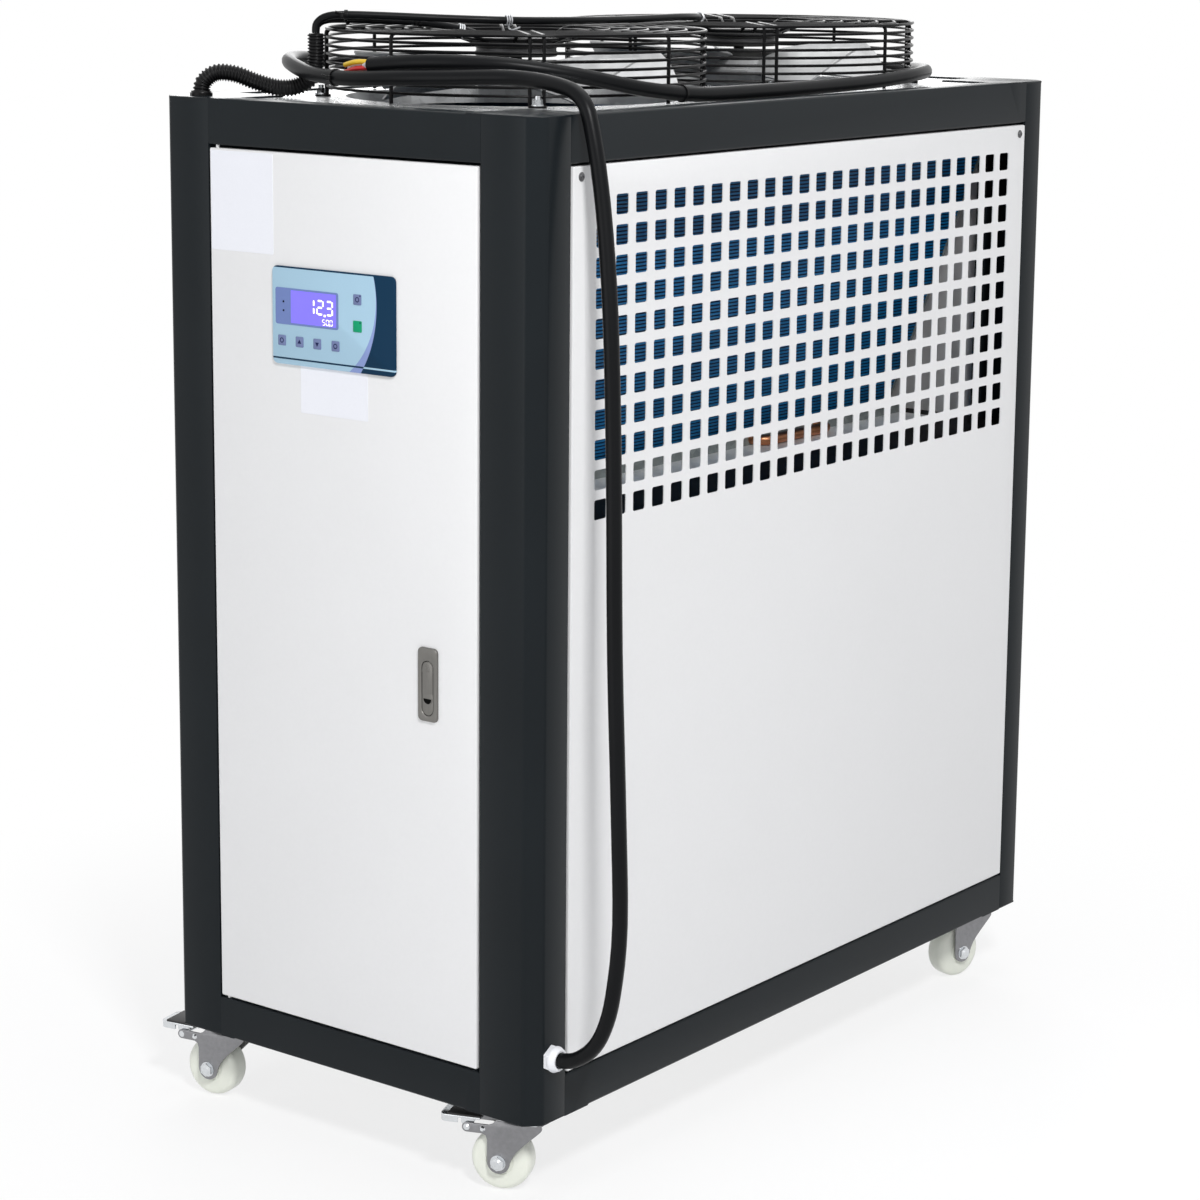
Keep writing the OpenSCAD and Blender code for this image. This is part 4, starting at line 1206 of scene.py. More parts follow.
@dataclass
class ControlUnit:
    """The membrane control panel on the door: plate, display with its figures, lamps and keys."""

    middle: Point = (-7.0, -479.0, 875.5)
    w: float = 164.0
    h: float = 99.0
    t: float = 2.5
    lens: tuple[float, float, float, float] = (-25.8, 9.5, 61.0, 33.0)
    bezel: tuple[float, float, float, float] = (-34.9, 9.4, 85.0, 37.0)
    key: float = 10.5
    row_x: tuple[float, ...] = (-69.0, -45.0, -21.0, 3.6)
    row_z: float = -25.5
    side_x: float = 33.0
    side_z: tuple[float, float] = (23.5, -3.2)

    def place(self, x: float, z: float, out: float = 0.0) -> Matrix:
        """Gives a place on the panel, facing out of the door.

        Args:
            x: across from the panel's middle.
            z: up from its middle.
            out: how far in front of the plate's back.

        Returns:
            The place, its Z axis out of the door.
        """
        spot = Vector(self.middle) + Vector((x, -out, z))
        return Matrix.Translation(spot) @ UPRIGHT

    def plate(self) -> None:
        """Makes the printed plate."""
        bm = bmesh.new()
        prism(bm, rounded_outline(self.w, self.h, 6.0), self.place(0.0, 0.0), self.t, 0.5)
        piece = finish_piece(bm, "control_plate", BEZEL_LILAC, "door", ["control_panel"])
        front = (self.middle[0], self.middle[1] - self.t, self.middle[2])
        piece.data.materials[0] = MembraneFinish().material(front, (self.w, self.h))

    def display(self) -> None:
        """Makes the display's frame, lens, figures and lamps."""
        x, z, w, h = self.bezel
        bm = bmesh.new()
        prism(bm, rounded_outline(w, h, 2.5), self.place(x, z, self.t), 0.3)
        finish_piece(bm, "display_frame", BEZEL_LILAC, "door")
        x, z, w, h = self.lens
        bm = bmesh.new()
        prism(bm, rounded_outline(w, h, 0.8), self.place(x, z, self.t + 0.3), 0.15)
        finish_piece(bm, "display_lens", LENS_VIOLET, "door")
        bm = bmesh.new()
        self.figures(bm, "12.3", x + w / 2 - 5.0, z + 2.0, 15.5)
        self.figures(bm, "50.0", x + w / 2 - 5.0, z - 12.4, 6.2)
        finish_piece(bm, "display_figures", DIGIT_WHITE, "door")
        bm = bmesh.new()
        for lamp_z in (4.5, -4.5):
            lamp_x = self.bezel[0] - self.bezel[2] / 2 + 11.0
            place = self.place(lamp_x, self.bezel[1] + lamp_z, self.t + 0.3)
            lathe(bm, [(1.1, 0.0), (1.0, 0.25), (0.0, 0.35)], place, 16)
        finish_piece(bm, "indicator_lamps", SHADE_AND_LAMP_BLACK, "door")

    def figures(self, bm: bmesh.types.BMesh, digits: str, right: float, z: float, tall: float) -> None:
        """Adds seven-segment figures, the last one ending at a given place.

        Args:
            bm: the mesh.
            digits: the figures and at most one point.
            right: where the last figure ends.
            z: the height of their middle.
            tall: their height.
        """
        wide, bar = 0.52 * tall, 0.13 * tall
        step = 0.80 * tall
        out = self.t + 0.45
        runs = {"a": (0.0, 0.5, True), "g": (0.0, 0.0, True), "d": (0.0, -0.5, True),
                "f": (-0.5, 0.25, False), "b": (0.5, 0.25, False),
                "e": (-0.5, -0.25, False), "c": (0.5, -0.25, False)}
        middle = right - wide / 2
        for digit in reversed(digits):
            if digit == ".":
                prism(bm, rounded_outline(bar * 1.2, bar * 1.2, 0.2, 1),
                      self.place(middle + step / 2, z - tall / 2, out), 0.1)
                continue
            for name in SEGMENTS[digit]:
                dx, dz, level = runs[name]
                size = (wide - bar, bar) if level else (bar, tall / 2 - bar)
                up = z + dz * (tall - bar) if level else z + dz * tall
                spot = self.place(middle + dx * wide, up, out)
                prism(bm, rounded_outline(*size, bar * 0.35, 1), spot, 0.1)
            middle -= step

    def keys(self) -> None:
        """Makes the keys and the plain marks on them."""
        grey, green, marks = bmesh.new(), bmesh.new(), bmesh.new()
        spots = [(x, self.row_z) for x in self.row_x] + [(self.side_x, self.side_z[0])]
        for x, z in spots:
            prism(grey, rounded_outline(self.key, self.key, 1.0, 2), self.place(x, z, self.t), 0.5, 0.15)
        wide = self.key + 0.8
        spot = self.place(self.side_x, self.side_z[1], self.t)
        prism(green, rounded_outline(wide, wide, 1.0, 2), spot, 0.5, 0.15)
        out = self.t + 0.5
        up = [(-2.6, -1.6), (2.6, -1.6), (0.0, 2.6)]
        prism(marks, up, self.place(self.row_x[1], self.row_z, out), 0.08)
        prism(marks, [(-x, -y) for x, y in up], self.place(self.row_x[2], self.row_z, out), 0.08)
        for x in (self.row_x[0], self.row_x[3], self.side_x):
            z = self.side_z[0] if x == self.side_x else self.row_z
            ring_place = self.place(x, z, out)
            lathe(marks, [(1.7, 0.0), (2.7, 0.0), (2.7, 0.08), (1.7, 0.08)], ring_place, 20, closed=True)
        for z in self.side_z:
            spot = self.place(self.side_x + 3.8, z + 3.8, out)
            prism(marks, rounded_outline(1.6, 1.6, 0.5, 2), spot, 0.1)
        finish_piece(grey, "grey_keys", KEY_GREY, "door")
        finish_piece(green, "green_key", KEY_GREEN, "door")
        finish_piece(marks, "key_marks", KEY_MARK, "door")

    def build(self) -> None:
        """Makes the whole control panel."""
        self.plate()
        self.display()
        self.keys()


@dataclass
class Latch:
    """The flush paddle latch: its body in the door and its paddle."""

    middle: Point = (115.5, -479.0, 522.5)
    w: float = 25.0
    h: float = 75.0
    plate_t: float = 2.5
    cut: Point2 = (19.0, 67.0)
    wall: float = 2.0
    depth: float = 18.0
    paddle_t: float = 4.0
    pivot_up: float = 13.5
    open_w: float = 15.2
    open_h: float = 56.0
    open_up: float = -3.8
    gap: float = 0.5
    step_up: float = -9.2
    slot_up: float = -14.4

    def place(self, x: float, z: float, out: float) -> Matrix:
        """Gives a place on the latch, its Z axis out of the door."""
        spot = Vector(self.middle) + Vector((x, -out, z))
        return Matrix.Translation(spot) @ UPRIGHT

    def body(self) -> None:
        """Makes the plate and the box behind it, open for the paddle."""
        bm = bmesh.new()
        opening = rounded_outline(self.open_w, self.open_h, self.open_w / 2 - 0.1, 6)
        ring_plate(bm, rounded_outline(self.w, self.h, 5.0, 6), [(x, z + self.open_up) for x, z in opening],
                   self.place(0.0, 0.0, 0.0), self.plate_t, 0.9)
        x, y, z = self.middle
        half_w, half_h = self.cut[0] / 2 - 0.3, self.cut[1] / 2 - 0.3
        for low, high in (
                ((-half_w, 0.0, -half_h), (-half_w + self.wall - 0.3, self.depth, half_h)),
                ((half_w - self.wall + 0.3, 0.0, -half_h), (half_w, self.depth, half_h)),
                ((-half_w, 0.0, -half_h), (half_w, self.depth, -half_h + self.wall - 0.3)),
                ((-half_w, 0.0, half_h - self.wall + 0.3), (half_w, self.depth, half_h)),
                ((-half_w, self.depth - self.wall, -half_h), (half_w, self.depth, half_h))):
            block(bm, (x + low[0], y + low[1] - 0.2, z + low[2]),
                  (x + high[0], y + high[1] - 0.6, z + high[2]))
        finish_piece(bm, "latch_case", NICKEL, "door", ["latch_body"])

    def paddle(self) -> None:
        """Makes the paddle: a plate with a raised tongue, a gripping patch and a finger slot, whose inside
        is a thin black sheet of painted shade.
        """
        bm = bmesh.new()
        w, h = self.open_w - 2 * self.gap, self.open_h - 2 * self.gap
        prism(bm, rounded_outline(w, h, w / 2 - 0.1, 6),
              self.place(0.0, self.open_up, self.plate_t - self.paddle_t - 0.6), self.paddle_t, 0.4)
        half = w / 2 - 0.6
        bend = self.open_up + self.open_h / 2 - self.open_w / 2
        tongue = [(-half, self.step_up), (half, self.step_up)]
        tongue += arc(half, 0.0, math.pi, 12, (0.0, bend))
        prism(bm, tongue, self.place(0.0, 0.0, self.plate_t - 0.7), 0.5, 0.25)
        for row in range(4):
            for k in range(4 - row % 2):
                x = self.middle[0] + (k - (3 - row % 2) / 2) * 2.2
                y = self.middle[1] - self.plate_t
                z = self.middle[2] + bend - 3.0 + 2.0 * row
                block(bm, (x - 0.6, y, z), (x + 0.6, y + 0.4, z + 1.2), 0.1, 1)
        pivot = Vector(self.middle) + Vector((0.0, 0.0, self.pivot_up))
        rod(bm, pivot - Vector((7.8, 0.0, 0.0)), pivot + Vector((7.8, 0.0, 0.0)), 1.9, 16)
        moon = arc(5.2, math.pi, FULL_TURN, 12)
        lip = arc(6.2, math.pi, FULL_TURN, 12) + moon[::-1]
        prism(bm, lip, self.place(0.0, self.slot_up, self.plate_t - 0.7), 0.6, 0.2)
        finish_piece(bm, "latch_paddle", NICKEL, "latch_lever", ["latch_handle"])
        # painted shade: a thin black sheet where the finger slot's recess is dark
        slot = bmesh.new()
        prism(slot, moon, self.place(0.0, self.slot_up, self.plate_t - 0.65), 0.15)
        finish_piece(slot, "latch_finger_slot_shade", SHADE_AND_LAMP_BLACK, "latch_lever")

    def build(self) -> None:
        """Makes the whole latch."""
        self.body()
        self.paddle()


@dataclass
class Coil:
    """The V-shaped condenser coil: finned slabs with end plates, the tray under them and copper pipes."""

    length: float = 824.0
    foot: float = 686.0
    head: float = 1084.0
    foot_in: float = 34.0
    top_in: float = 189.5
    t: float = 44.0
    fin_pitch: float = 4.1
    fin_t: float = 2.0
    fin_proud: float = 2.2
    end_t: float = 1.5
    tray_foot: float = 684.0
    tray_half: float = 94.0
    tray_h: float = 22.0
    tray_len: float = 840.0
    ledge: float = 40.0
    sheet: float = 2.0

    def section(self, z: float, grow: float) -> Point2:
        """Gives the inner and outer face of a slab at a height.

        Args:
            z: the height.
            grow: how far to widen it on each face.

        Returns:
            The two distances from the middle.
        """
        share = (z - self.foot) / (self.head - self.foot)
        inner = self.foot_in + share * (self.top_in - self.foot_in)
        return inner - grow, inner + self.t + grow

    def slice(self, side: float, grow: float) -> list[Point2]:
        """Gives the outline of a slab's cross section in (x, z).

        Args:
            side: -1 for left and 1 for right.
            grow: how far to widen it on each face.

        Returns:
            The four corners.
        """
        low, high = self.section(self.foot, grow), self.section(self.head, grow)
        return [(side * low[0], self.foot), (side * low[1], self.foot),
                (side * high[1], self.head), (side * high[0], self.head)]

    def slab(self, name: str, side: float) -> None:
        """Makes one slab: a dark core, painted shade of the gaps between the fins, with bright fins across
        it and a plate at each end.

        Args:
            name: left or right.
            side: -1 for left and 1 for right.
        """
        half = self.length / 2
        core = bmesh.new()
        inner = half - self.end_t
        # the core's dark blue is painted shade between the fins
        prism(core, self.slice(side, -self.fin_proud), moved(0.0, inner, 0.0) @ UPRIGHT, 2 * inner)
        finish_piece(core, f"coil_core_{name}", FIN_GAP_SHADE, "cabinet", [f"coil_{name}"])
        fins = bmesh.new()
        count = int((self.head - self.foot - 2.0) / self.fin_pitch)
        for k in range(count):
            z = self.foot + 1.5 + k * self.fin_pitch
            inside, outside = self.section(z, 0.0)
            near, far = sorted((side * (inside + outside) / 2, side * outside))
            block(fins, (near, -inner + 2.0, z), (far, inner - 2.0, z + self.fin_t))
        finish_piece(fins, f"coil_fins_{name}", FIN_BLUE, "cabinet")
        plates = bmesh.new()
        for y in (half, -half + self.end_t):
            prism(plates, self.slice(side, 1.0), moved(0.0, y, 0.0) @ UPRIGHT, self.end_t)
        # the end plates' darker grey is painted shade on galvanised sheet
        finish_piece(plates, f"coil_end_plates_{name}", GALVANISED_SHADE, "cabinet")

    def tray(self) -> None:
        """Makes the channel under the slabs, its ledges, made pale as painted light from above, and the
        copper pipe along one of them.
        """
        half, long, top = self.tray_half, self.tray_len / 2, self.tray_foot + self.sheet
        channel, ledges = bmesh.new(), bmesh.new()
        block(channel, (-half, -long, self.tray_foot), (half, long, top), 0.4, 1)
        for side in (-1.0, 1.0):
            near, far = sorted((side * (half - self.sheet), side * half))
            block(channel, (near, -long, top - 0.5), (far, long, self.tray_foot + self.tray_h), 0.4, 1)
            near, far = sorted((side * half, side * (half + self.ledge)))
            block(ledges, (near, -long, self.tray_foot), (far, long, top), 0.4, 1)
        finish_piece(channel, "drip_channel", GALVANISED_SHADE, "cabinet", ["coil_tray"])
        # the ledges' near white is painted light from above
        finish_piece(ledges, "drip_ledges", GALVANISED_LIT, "cabinet")
        pipe = bmesh.new()
        z = top + 6.6
        bends = ((-1.0, 106), (6, 106), (15, 110), (19, 121), (19, 170),
                 (19, 222), (15, 233), (6, 237), (-1.0, 237))
        route = smooth_route([(half + out, y, z) for out, y in bends], 5)
        tube(pipe, route, [6.0] * len(route), 16)
        finish_piece(pipe, "copper_line", COPPER, "cabinet")

    def build(self, frame: dict) -> None:
        """Makes the coil and dresses its headers.

        Args:
            frame: the loaded frame.
        """
        self.slab("right", 1.0)
        self.slab("left", -1.0)
        self.tray()
        dress(frame, ("copper_headers",), COPPER)


@dataclass
class Fan:
    """A top fan: its wire guard, the motor hung from it and the rotor below."""

    name: str
    y: float
    plate: float = 1086.0
    guard_r: float = 198.0
    guard_h: float = 72.0
    ring_wire: float = 4.0
    leg_wire: float = 5.0
    drawn: float = 0.8
    side_rings: int = 7
    top_rings: int = 8
    ring_low: float = 11.0
    motor_r: float = 43.0
    mount_t: float = 4.0
    leg_pair: float = 7.0
    stator_h: float = 14.0
    rotor_gap: float = 5.0
    bell_h: float = 26.0
    blade_r: float = 172.0
    blades: int = 5
    blade_pitch: float = 28.0
    dip_r: float = 84.0
    dip: float = 12.0

    @property
    def top(self) -> float:
        """Height of the middle of the top wires."""
        return self.plate + self.guard_h - self.ring_wire / 2

    @property
    def mount_r(self) -> float:
        """Radius of the motor mount."""
        return self.motor_r + 6.0

    @property
    def mount_z(self) -> float:
        """Height of the middle of the motor mount."""
        return self.top - self.dip

    def top_at(self, r: float) -> float:
        """Gives the height of the top wires at a radius: level, then sloping down to the mount."""
        return self.top - self.dip * max(0.0, self.dip_r - r) / (self.dip_r - self.mount_r)

    def at(self, z: float) -> Matrix:
        """Gives a place on the fan's axis."""
        return moved(0.0, self.y, z)

    def leg(self, bm: bmesh.types.BMesh, turn: float, aside: float) -> None:
        """Adds one leg: up the side, round a bend and in across the top.

        Args:
            bm: the mesh.
            turn: its direction from the fan's axis.
            aside: how far it stands beside that direction.
        """
        round_r = 6.0
        route = [Vector((self.guard_r, aside, self.plate + 0.5)),
                 Vector((self.guard_r, aside, self.top - round_r))]
        bend = arc(round_r, 0.0, math.pi / 2, 4, (self.guard_r - round_r, self.top - round_r))
        route += [Vector((x, aside, z)) for x, z in bend[1:]]
        for r in (self.dip_r + 4.0, self.dip_r - 4.0, self.mount_r - 2.0):
            route.append(Vector((r, aside, self.top_at(r))))
        spin = moved(0.0, self.y, 0.0) @ turned(turn, "Z")
        tube(bm, [spin @ p for p in route], [self.drawn * self.leg_wire / 2] * len(route), 10)

    def guard(self) -> None:
        """Makes the wire guard."""
        bm = bmesh.new()
        step = (self.top - self.plate - self.ring_low) / self.side_rings
        for i in range(self.side_rings):
            ring(bm, self.guard_r, self.drawn * self.ring_wire,
                 self.at(self.plate + self.ring_low + i * step), 96)
        step = (self.guard_r - self.mount_r - 2 * self.ring_wire) / (self.top_rings - 1)
        for i in range(self.top_rings):
            r = self.guard_r - i * step
            ring(bm, r, self.drawn * self.ring_wire, self.at(self.top_at(r)), 96 if i < 4 else 64)
        for k in range(4):
            self.leg(bm, k * math.pi / 2, 0.0)
            for aside in (-self.leg_pair, self.leg_pair):
                self.leg(bm, (k + 0.5) * math.pi / 2, aside)
        lathe(bm, [(0.0, -self.mount_t / 2), (self.mount_r, -self.mount_t / 2), (self.mount_r + 0.5, 0.0),
                   (self.mount_r, self.mount_t / 2), (14.0, self.mount_t / 2), (12.0, 0.8), (0.0, 0.8)],
              self.at(self.mount_z), 64)
        finish_piece(bm, f"wire_guard_{self.name}", WIRE_BLACK, "cabinet", [f"fan_guard_{self.name}"])
        self.feet()

    def feet(self) -> None:
        """Makes the feet under the double legs and their bolts."""
        feet, bolts = bmesh.new(), bmesh.new()
        for k in range(4):
            spin = self.at(self.plate) @ turned((k + 0.5) * math.pi / 2, "Z")
            foot, bolt = bmesh.new(), bmesh.new()
            prism(foot, rounded_outline(16.0, 18.0, 4.0), moved(self.guard_r + 4.0, 0.0, 0.0), 2.2, 0.5)
            put(feet, foot, spin)
            out = self.guard_r + 6.0
            for low, high, r, sides in ((2.2, 3.6, 6.5, 24), (3.6, 8.6, 5.4, 6), (8.6, 12.0, 2.9, 16)):
                rod(bolt, Vector((out, 0.0, low)), Vector((out, 0.0, high)), r, sides)
            put(bolts, bolt, spin)
        finish_piece(feet, f"guard_feet_{self.name}", WIRE_BLACK, "cabinet")
        finish_piece(bolts, f"guard_bolts_{self.name}", ZINC_BRIGHT, "cabinet")

    def motor(self) -> None:
        """Makes the stator under the mount, with its rim and lighter band, and the shaft."""
        top = self.mount_z - self.mount_t / 2
        r, h = self.motor_r, self.stator_h
        bm = bmesh.new()
        lathe(bm, [(0.0, 0.0), (r - 4.0, 0.0), (r - 3.0, -2.0), (r, -2.4), (r, -5.0), (r - 1.6, -5.4),
                   (r - 1.6, -8.6), (r, -9.0), (r, -h + 1.0), (r - 1.0, -h), (0.0, -h)], self.at(top), 64)
        tip = -self.rotor_gap - self.bell_h + 4.0
        lathe(bm, [(0.0, 0.0), (6.0, 0.0), (6.0, tip), (0.0, tip)], self.at(top - h), 24)
        finish_piece(bm, f"motor_stator_{self.name}", MOTOR_BLACK, "cabinet", [f"fan_motor_{self.name}"])
        band = bmesh.new()
        hoop = [(r - 1.5, -5.5), (r - 1.0, -5.5), (r - 1.0, -8.5), (r - 1.5, -8.5)]
        lathe(band, hoop, self.at(top), 64, closed=True)
        finish_piece(band, f"motor_band_{self.name}", MOTOR_BAND, "cabinet")

    def rotor(self) -> None:
        """Makes the bell, black above and bare below, and its swept, cambered blades."""
        foot = self.mount_z - self.mount_t / 2 - self.stator_h - self.rotor_gap - self.bell_h
        r, h, split = self.motor_r, self.bell_h, self.bell_h - 10.0
        cap = bmesh.new()
        lathe(cap, [(7.0, split), (7.0, h), (r - 2.0, h), (r, h - 2.0), (r, split + 1.0), (r - 1.2, split)],
              self.at(foot), 64, closed=True)
        finish_piece(cap, f"fan_bell_{self.name}", MOTOR_BLACK, f"{self.name}_fan")
        bm = bmesh.new()
        lathe(bm, [(0.0, 3.0), (7.0, 3.0), (7.0, split), (r - 1.2, split), (r - 1.2, 6.0), (r, 5.0),
                   (r, 2.0), (r - 2.0, 0.0), (0.0, 0.0)], self.at(foot), 64)
        for k in range(self.blades):
            turn = math.pi / 2 + (k + 0.5) * FULL_TURN / self.blades
            self.blade(bm, self.at(foot + h / 2) @ turned(turn, "Z"))
        finish_piece(bm, f"fan_wheel_{self.name}", BLADE_GREY, f"{self.name}_fan",
                     [f"fan_rotor_{self.name}"], sharp=50.0)

    def blade(self, bm: bmesh.types.BMesh, place: Matrix) -> None:
        """Adds one blade, from a flat grid that is swept, cambered and pitched.

        Args:
            bm: the mesh.
            place: the blade's root direction along X.
        """
        part = bmesh.new()
        bmesh.ops.create_grid(part, x_segments=10, y_segments=8, size=0.5)
        pitch = math.radians(self.blade_pitch)
        for v in part.verts:
            along, across = v.co.x + 0.5, v.co.y
            radius = self.motor_r - 1.5 + along * (self.blade_r - self.motor_r + 1.5)
            wide = 42.0 + 48.0 * along ** 0.8
            flat = across * wide + 4.0 * math.sin(math.pi * along)
            camber = 4.0 * (1.0 - 4.0 * across * across)
            level = flat * math.cos(pitch)
            angle = level / radius
            v.co = (radius * math.cos(angle), radius * math.sin(angle), flat * math.sin(pitch) + camber)
        part.normal_update()
        bmesh.ops.solidify(part, geom=part.faces[:], thickness=2.0)
        put(bm, part, place)

    def build(self) -> None:
        """Makes the whole fan."""
        self.guard()
        self.motor()
        self.rotor()


POWER_ROUTE: tuple[Point, ...] = (
    (262, -450, 156), (280, -450, 161), (300, -449, 176), (315, -449, 200), (325, -448, 238),
    (331, -446, 310), (326, -444, 430), (317, -440, 580), (309, -434, 760), (299, -428, 900),
    (284, -421, 1000), (269, -418, 1068), (253, -415, 1102), (216, -408, 1114),
    (155, -400, 1118), (90, -415, 1116), (30, -426, 1114), (-40, -424, 1111),
    (-105, -405, 1113), (-165, -370, 1120), (-207, -322, 1122), (-227, -262, 1119),
    (-224, -190, 1110), (-215, -80, 1096), (-214, 60, 1095), (-214, 190, 1095),
    (-196, 290, 1095), (-130, 376, 1095), (-30, 414, 1096), (70, 404, 1098),
    (160, 344, 1101), (205, 262, 1101), (215, 160, 1097), (216, 40, 1095),
    (218, -80, 1095), (216, -180, 1096), (207, -258, 1104), (180, -318, 1117),
    (128, -374, 1128), (56, -409, 1130), (-14, -416, 1125))
CONDUIT_ROUTE: tuple[Point, ...] = (
    (-214, -452, 1091), (-213, -449, 1102), (-204, -440, 1111), (-190, -427, 1110),
    (-174, -412, 1102), (-158, -397, 1096), (-145, -384, 1097), (-135, -374, 1105),
    (-131, -370, 1118), (-130, -369, 1134), (-130, -369, 1152))
FRONT_LEAD_ROUTE: tuple[Point, ...] = (
    (-133, -366, 1152), (-132, -365, 1160), (-126, -359, 1165), (-114, -347, 1166),
    (-90, -320, 1165), (-62, -285, 1163), (-42, -252, 1157), (-30, -230, 1150))
REAR_LEAD_ROUTE: tuple[Point, ...] = (
    (-127, -373, 1152), (-126, -372, 1162), (-118, -366, 1169), (-102, -354, 1171),
    (-70, -326, 1170), (-30, -290, 1168), (20, -240, 1166), (44, -170, 1165),
    (40, -60, 1164), (24, 60, 1164), (-4, 130, 1161), (-24, 172, 1150))


@dataclass
class Wiring:
    """The power lead with its gland and bare cores, the conduit, the fan leads and their ties."""

    lead_r: float = 7.75
    fan_lead_r: float = 4.0
    conduit_r: float = 9.0
    groove: float = 1.5
    rib_pitch: float = 3.4
    core_r: float = 2.6
    core_len: float = 36.0
    wall: float = 250.0
    plate: float = 1088.0
    power: list[Vector] = field(default_factory=lambda: smooth_route(POWER_ROUTE, 4))

    def power_lead(self) -> None:
        """Makes the power lead with its gland and cores."""
        gland = self.gland()
        cores = self.cores()
        lead = cord_curve("power_lead", self.power, self.lead_r, LEAD_BLACK)
        settle(lead, "cabinet", ["power_cable"])

    def gland(self) -> bpy.types.Object:
        """Makes the white gland in the right post.

        Returns:
            The gland.
        """
        start = Vector(POWER_ROUTE[0])
        place = moved(self.wall, start.y, start.z) @ turned(math.pi / 2, "Y")
        bm = bmesh.new()
        rod(bm, place @ Vector((0.0, 0.0, 0.0)), place @ Vector((0.0, 0.0, 5.0)), 14.0, 6)
        reach = start.x - self.wall
        hole = self.lead_r + 0.3
        lathe(bm, [(hole, 4.0), (13.0, 4.0), (13.4, 5.2), (13.4, 6.4), (12.6, 8.0), (11.4, reach - 1.2),
                   (10.4, reach), (hole + 0.6, reach), (hole, reach - 0.8)], place, 32, closed=True)
        return finish_piece(bm, "white_gland", GLAND_WHITE, "cabinet", ["cable_gland"])

    def cores(self) -> list[bpy.types.Object]:
        """Makes the three bare cores at the lead's end and the filler between them.

        Returns:
            The cores.
        """
        end = Vector(POWER_ROUTE[-1])
        made = []
        for name, finish, rise, aside in (("core_yellow", CORE_YELLOW, 2.8, -1.7),
                                          ("core_red", CORE_RED, -2.8, -1.7),
                                          ("core_white", CORE_WHITE, 0.0, 3.2)):
            bends = ((0, 1.0, 0.0), (1, 1.2, 1.0), (2, 1.3, 5.0))
            steps = [(-self.core_len / 2 * k, aside * spread + sag, rise * spread - sag)
                     for k, spread, sag in bends]
            route = smooth_route([end + Vector(step) for step in steps], 6)
            bm = bmesh.new()
            tube(bm, route, [self.core_r] * len(route), 12)
            made.append(finish_piece(bm, f"lead_{name}", finish, "cabinet"))
        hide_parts("cable_cores")
        filler = bmesh.new()
        rod(filler, end + Vector((0.5, 0.0, 0.0)), end + Vector((-8.0, 0.4, -0.6)), 6.2, 16, 3.4)
        made.append(finish_piece(filler, "lead_filler", CORE_WHITE, "cabinet"))
        return made

    def conduit(self) -> None:
        """Makes the corrugated conduit and its fitting in the corner plate."""
        route = smooth_route(CONDUIT_ROUTE, 8)
        even = self.even(route, self.rib_pitch / 4)
        radii = [self.conduit_r - (self.groove if k % 4 in (2, 3) else 0.0) for k in range(len(even))]
        bm = bmesh.new()
        tube(bm, even, radii, 20)
        foot = Vector((*CONDUIT_ROUTE[0][:2], self.plate))
        rod(bm, foot, foot + Vector((0.0, 0.0, 3.0)), self.conduit_r + 3.0, 6)
        lathe(bm, [(0.0, 3.0), (self.conduit_r + 1.6, 3.0), (self.conduit_r + 1.2, 5.0), (0.0, 5.0)],
              Matrix.Translation(foot), 32)
        finish_piece(bm, "corrugated_conduit", CONDUIT_BLACK, "cabinet", ["conduit"], sharp=80.0)

    @staticmethod
    def even(route: Sequence[Vector], step: float) -> list[Vector]:
        """Spreads points evenly along a route.

        Args:
            route: the points of the route.
            step: the distance between the new points.

        Returns:
            The new points.
        """
        out = [route[0].copy()]
        left = step
        for a, b in zip(route, route[1:]):
            span = (b - a).length
            at = left
            while at <= span:
                out.append(a.lerp(b, at / span))
                at += step
            left = at - span
        return out

    def fan_leads(self) -> None:
        """Makes the two fan leads."""
        first = None
        for name, points in (("front", FRONT_LEAD_ROUTE), ("rear", REAR_LEAD_ROUTE)):
            route = smooth_route(points, 5)
            lead = cord_curve(f"fan_lead_{name}", route, self.fan_lead_r, LEAD_BLACK)
            settle(lead, "cabinet", ["fan_leads"] if first is None else ())
            first = first or lead

    def ties(self) -> None:
        """Makes the black ties round the leads and the pale wire loops that hold the fan leads down."""
        front, rear = smooth_route(FRONT_LEAD_ROUTE, 5), smooth_route(REAR_LEAD_ROUTE, 5)
        bm = bmesh.new()
        thick, thin = self.lead_r, self.fan_lead_r
        for route, k, r in ((self.power, 69, thick), (self.power, 141, thick), (front, 16, thin),
                            (rear, 15, thin), (front, 25, thin)):
            band = [(r + 0.05, -1.8), (r + 1.1, -1.8), (r + 1.1, 1.8), (r + 0.05, 1.8)]
            lathe(bm, band, route_frames(route)[k], 24, closed=True)
            knot = route[k] + Vector((0.0, -r - 1.0, 0.0))
            block(bm, tuple(knot - Vector((2.4, 2.4, 2.4))), tuple(knot + Vector((2.4, 1.6, 2.4))), 0.5)
            rod(bm, knot, knot + Vector((-5.0, -6.0, 3.5)), 1.3, 6, 0.9)
        finish_piece(bm, "lead_ties", CONDUIT_BLACK, "cabinet")
        loops = bmesh.new()
        for route, k in ((rear, 30), (rear, 50), (front, 31)):
            place = route_frames(route)[k]
            for along in (-2.4, 0.0, 2.4):
                ring(loops, self.fan_lead_r + 1.0, 1.7, place @ moved(0.0, 0.0, along), 20)
            knot = route[k] + Vector((0.0, 0.0, -self.fan_lead_r - 1.0))
            tail = smooth_route([knot, knot + Vector((4.0, -3.0, -3.5)), knot + Vector((11.0, -5.0, -4.0)),
                                 knot + Vector((17.0, -2.0, -1.5))], 4)
            tube(loops, tail, [0.9] * len(tail), 8)
        finish_piece(loops, "wire_loops", TIE_SILVER, "cabinet")

    def build(self) -> None:
        """Makes all the wiring."""
        self.power_lead()
        self.conduit()
        self.fan_leads()
        self.ties()


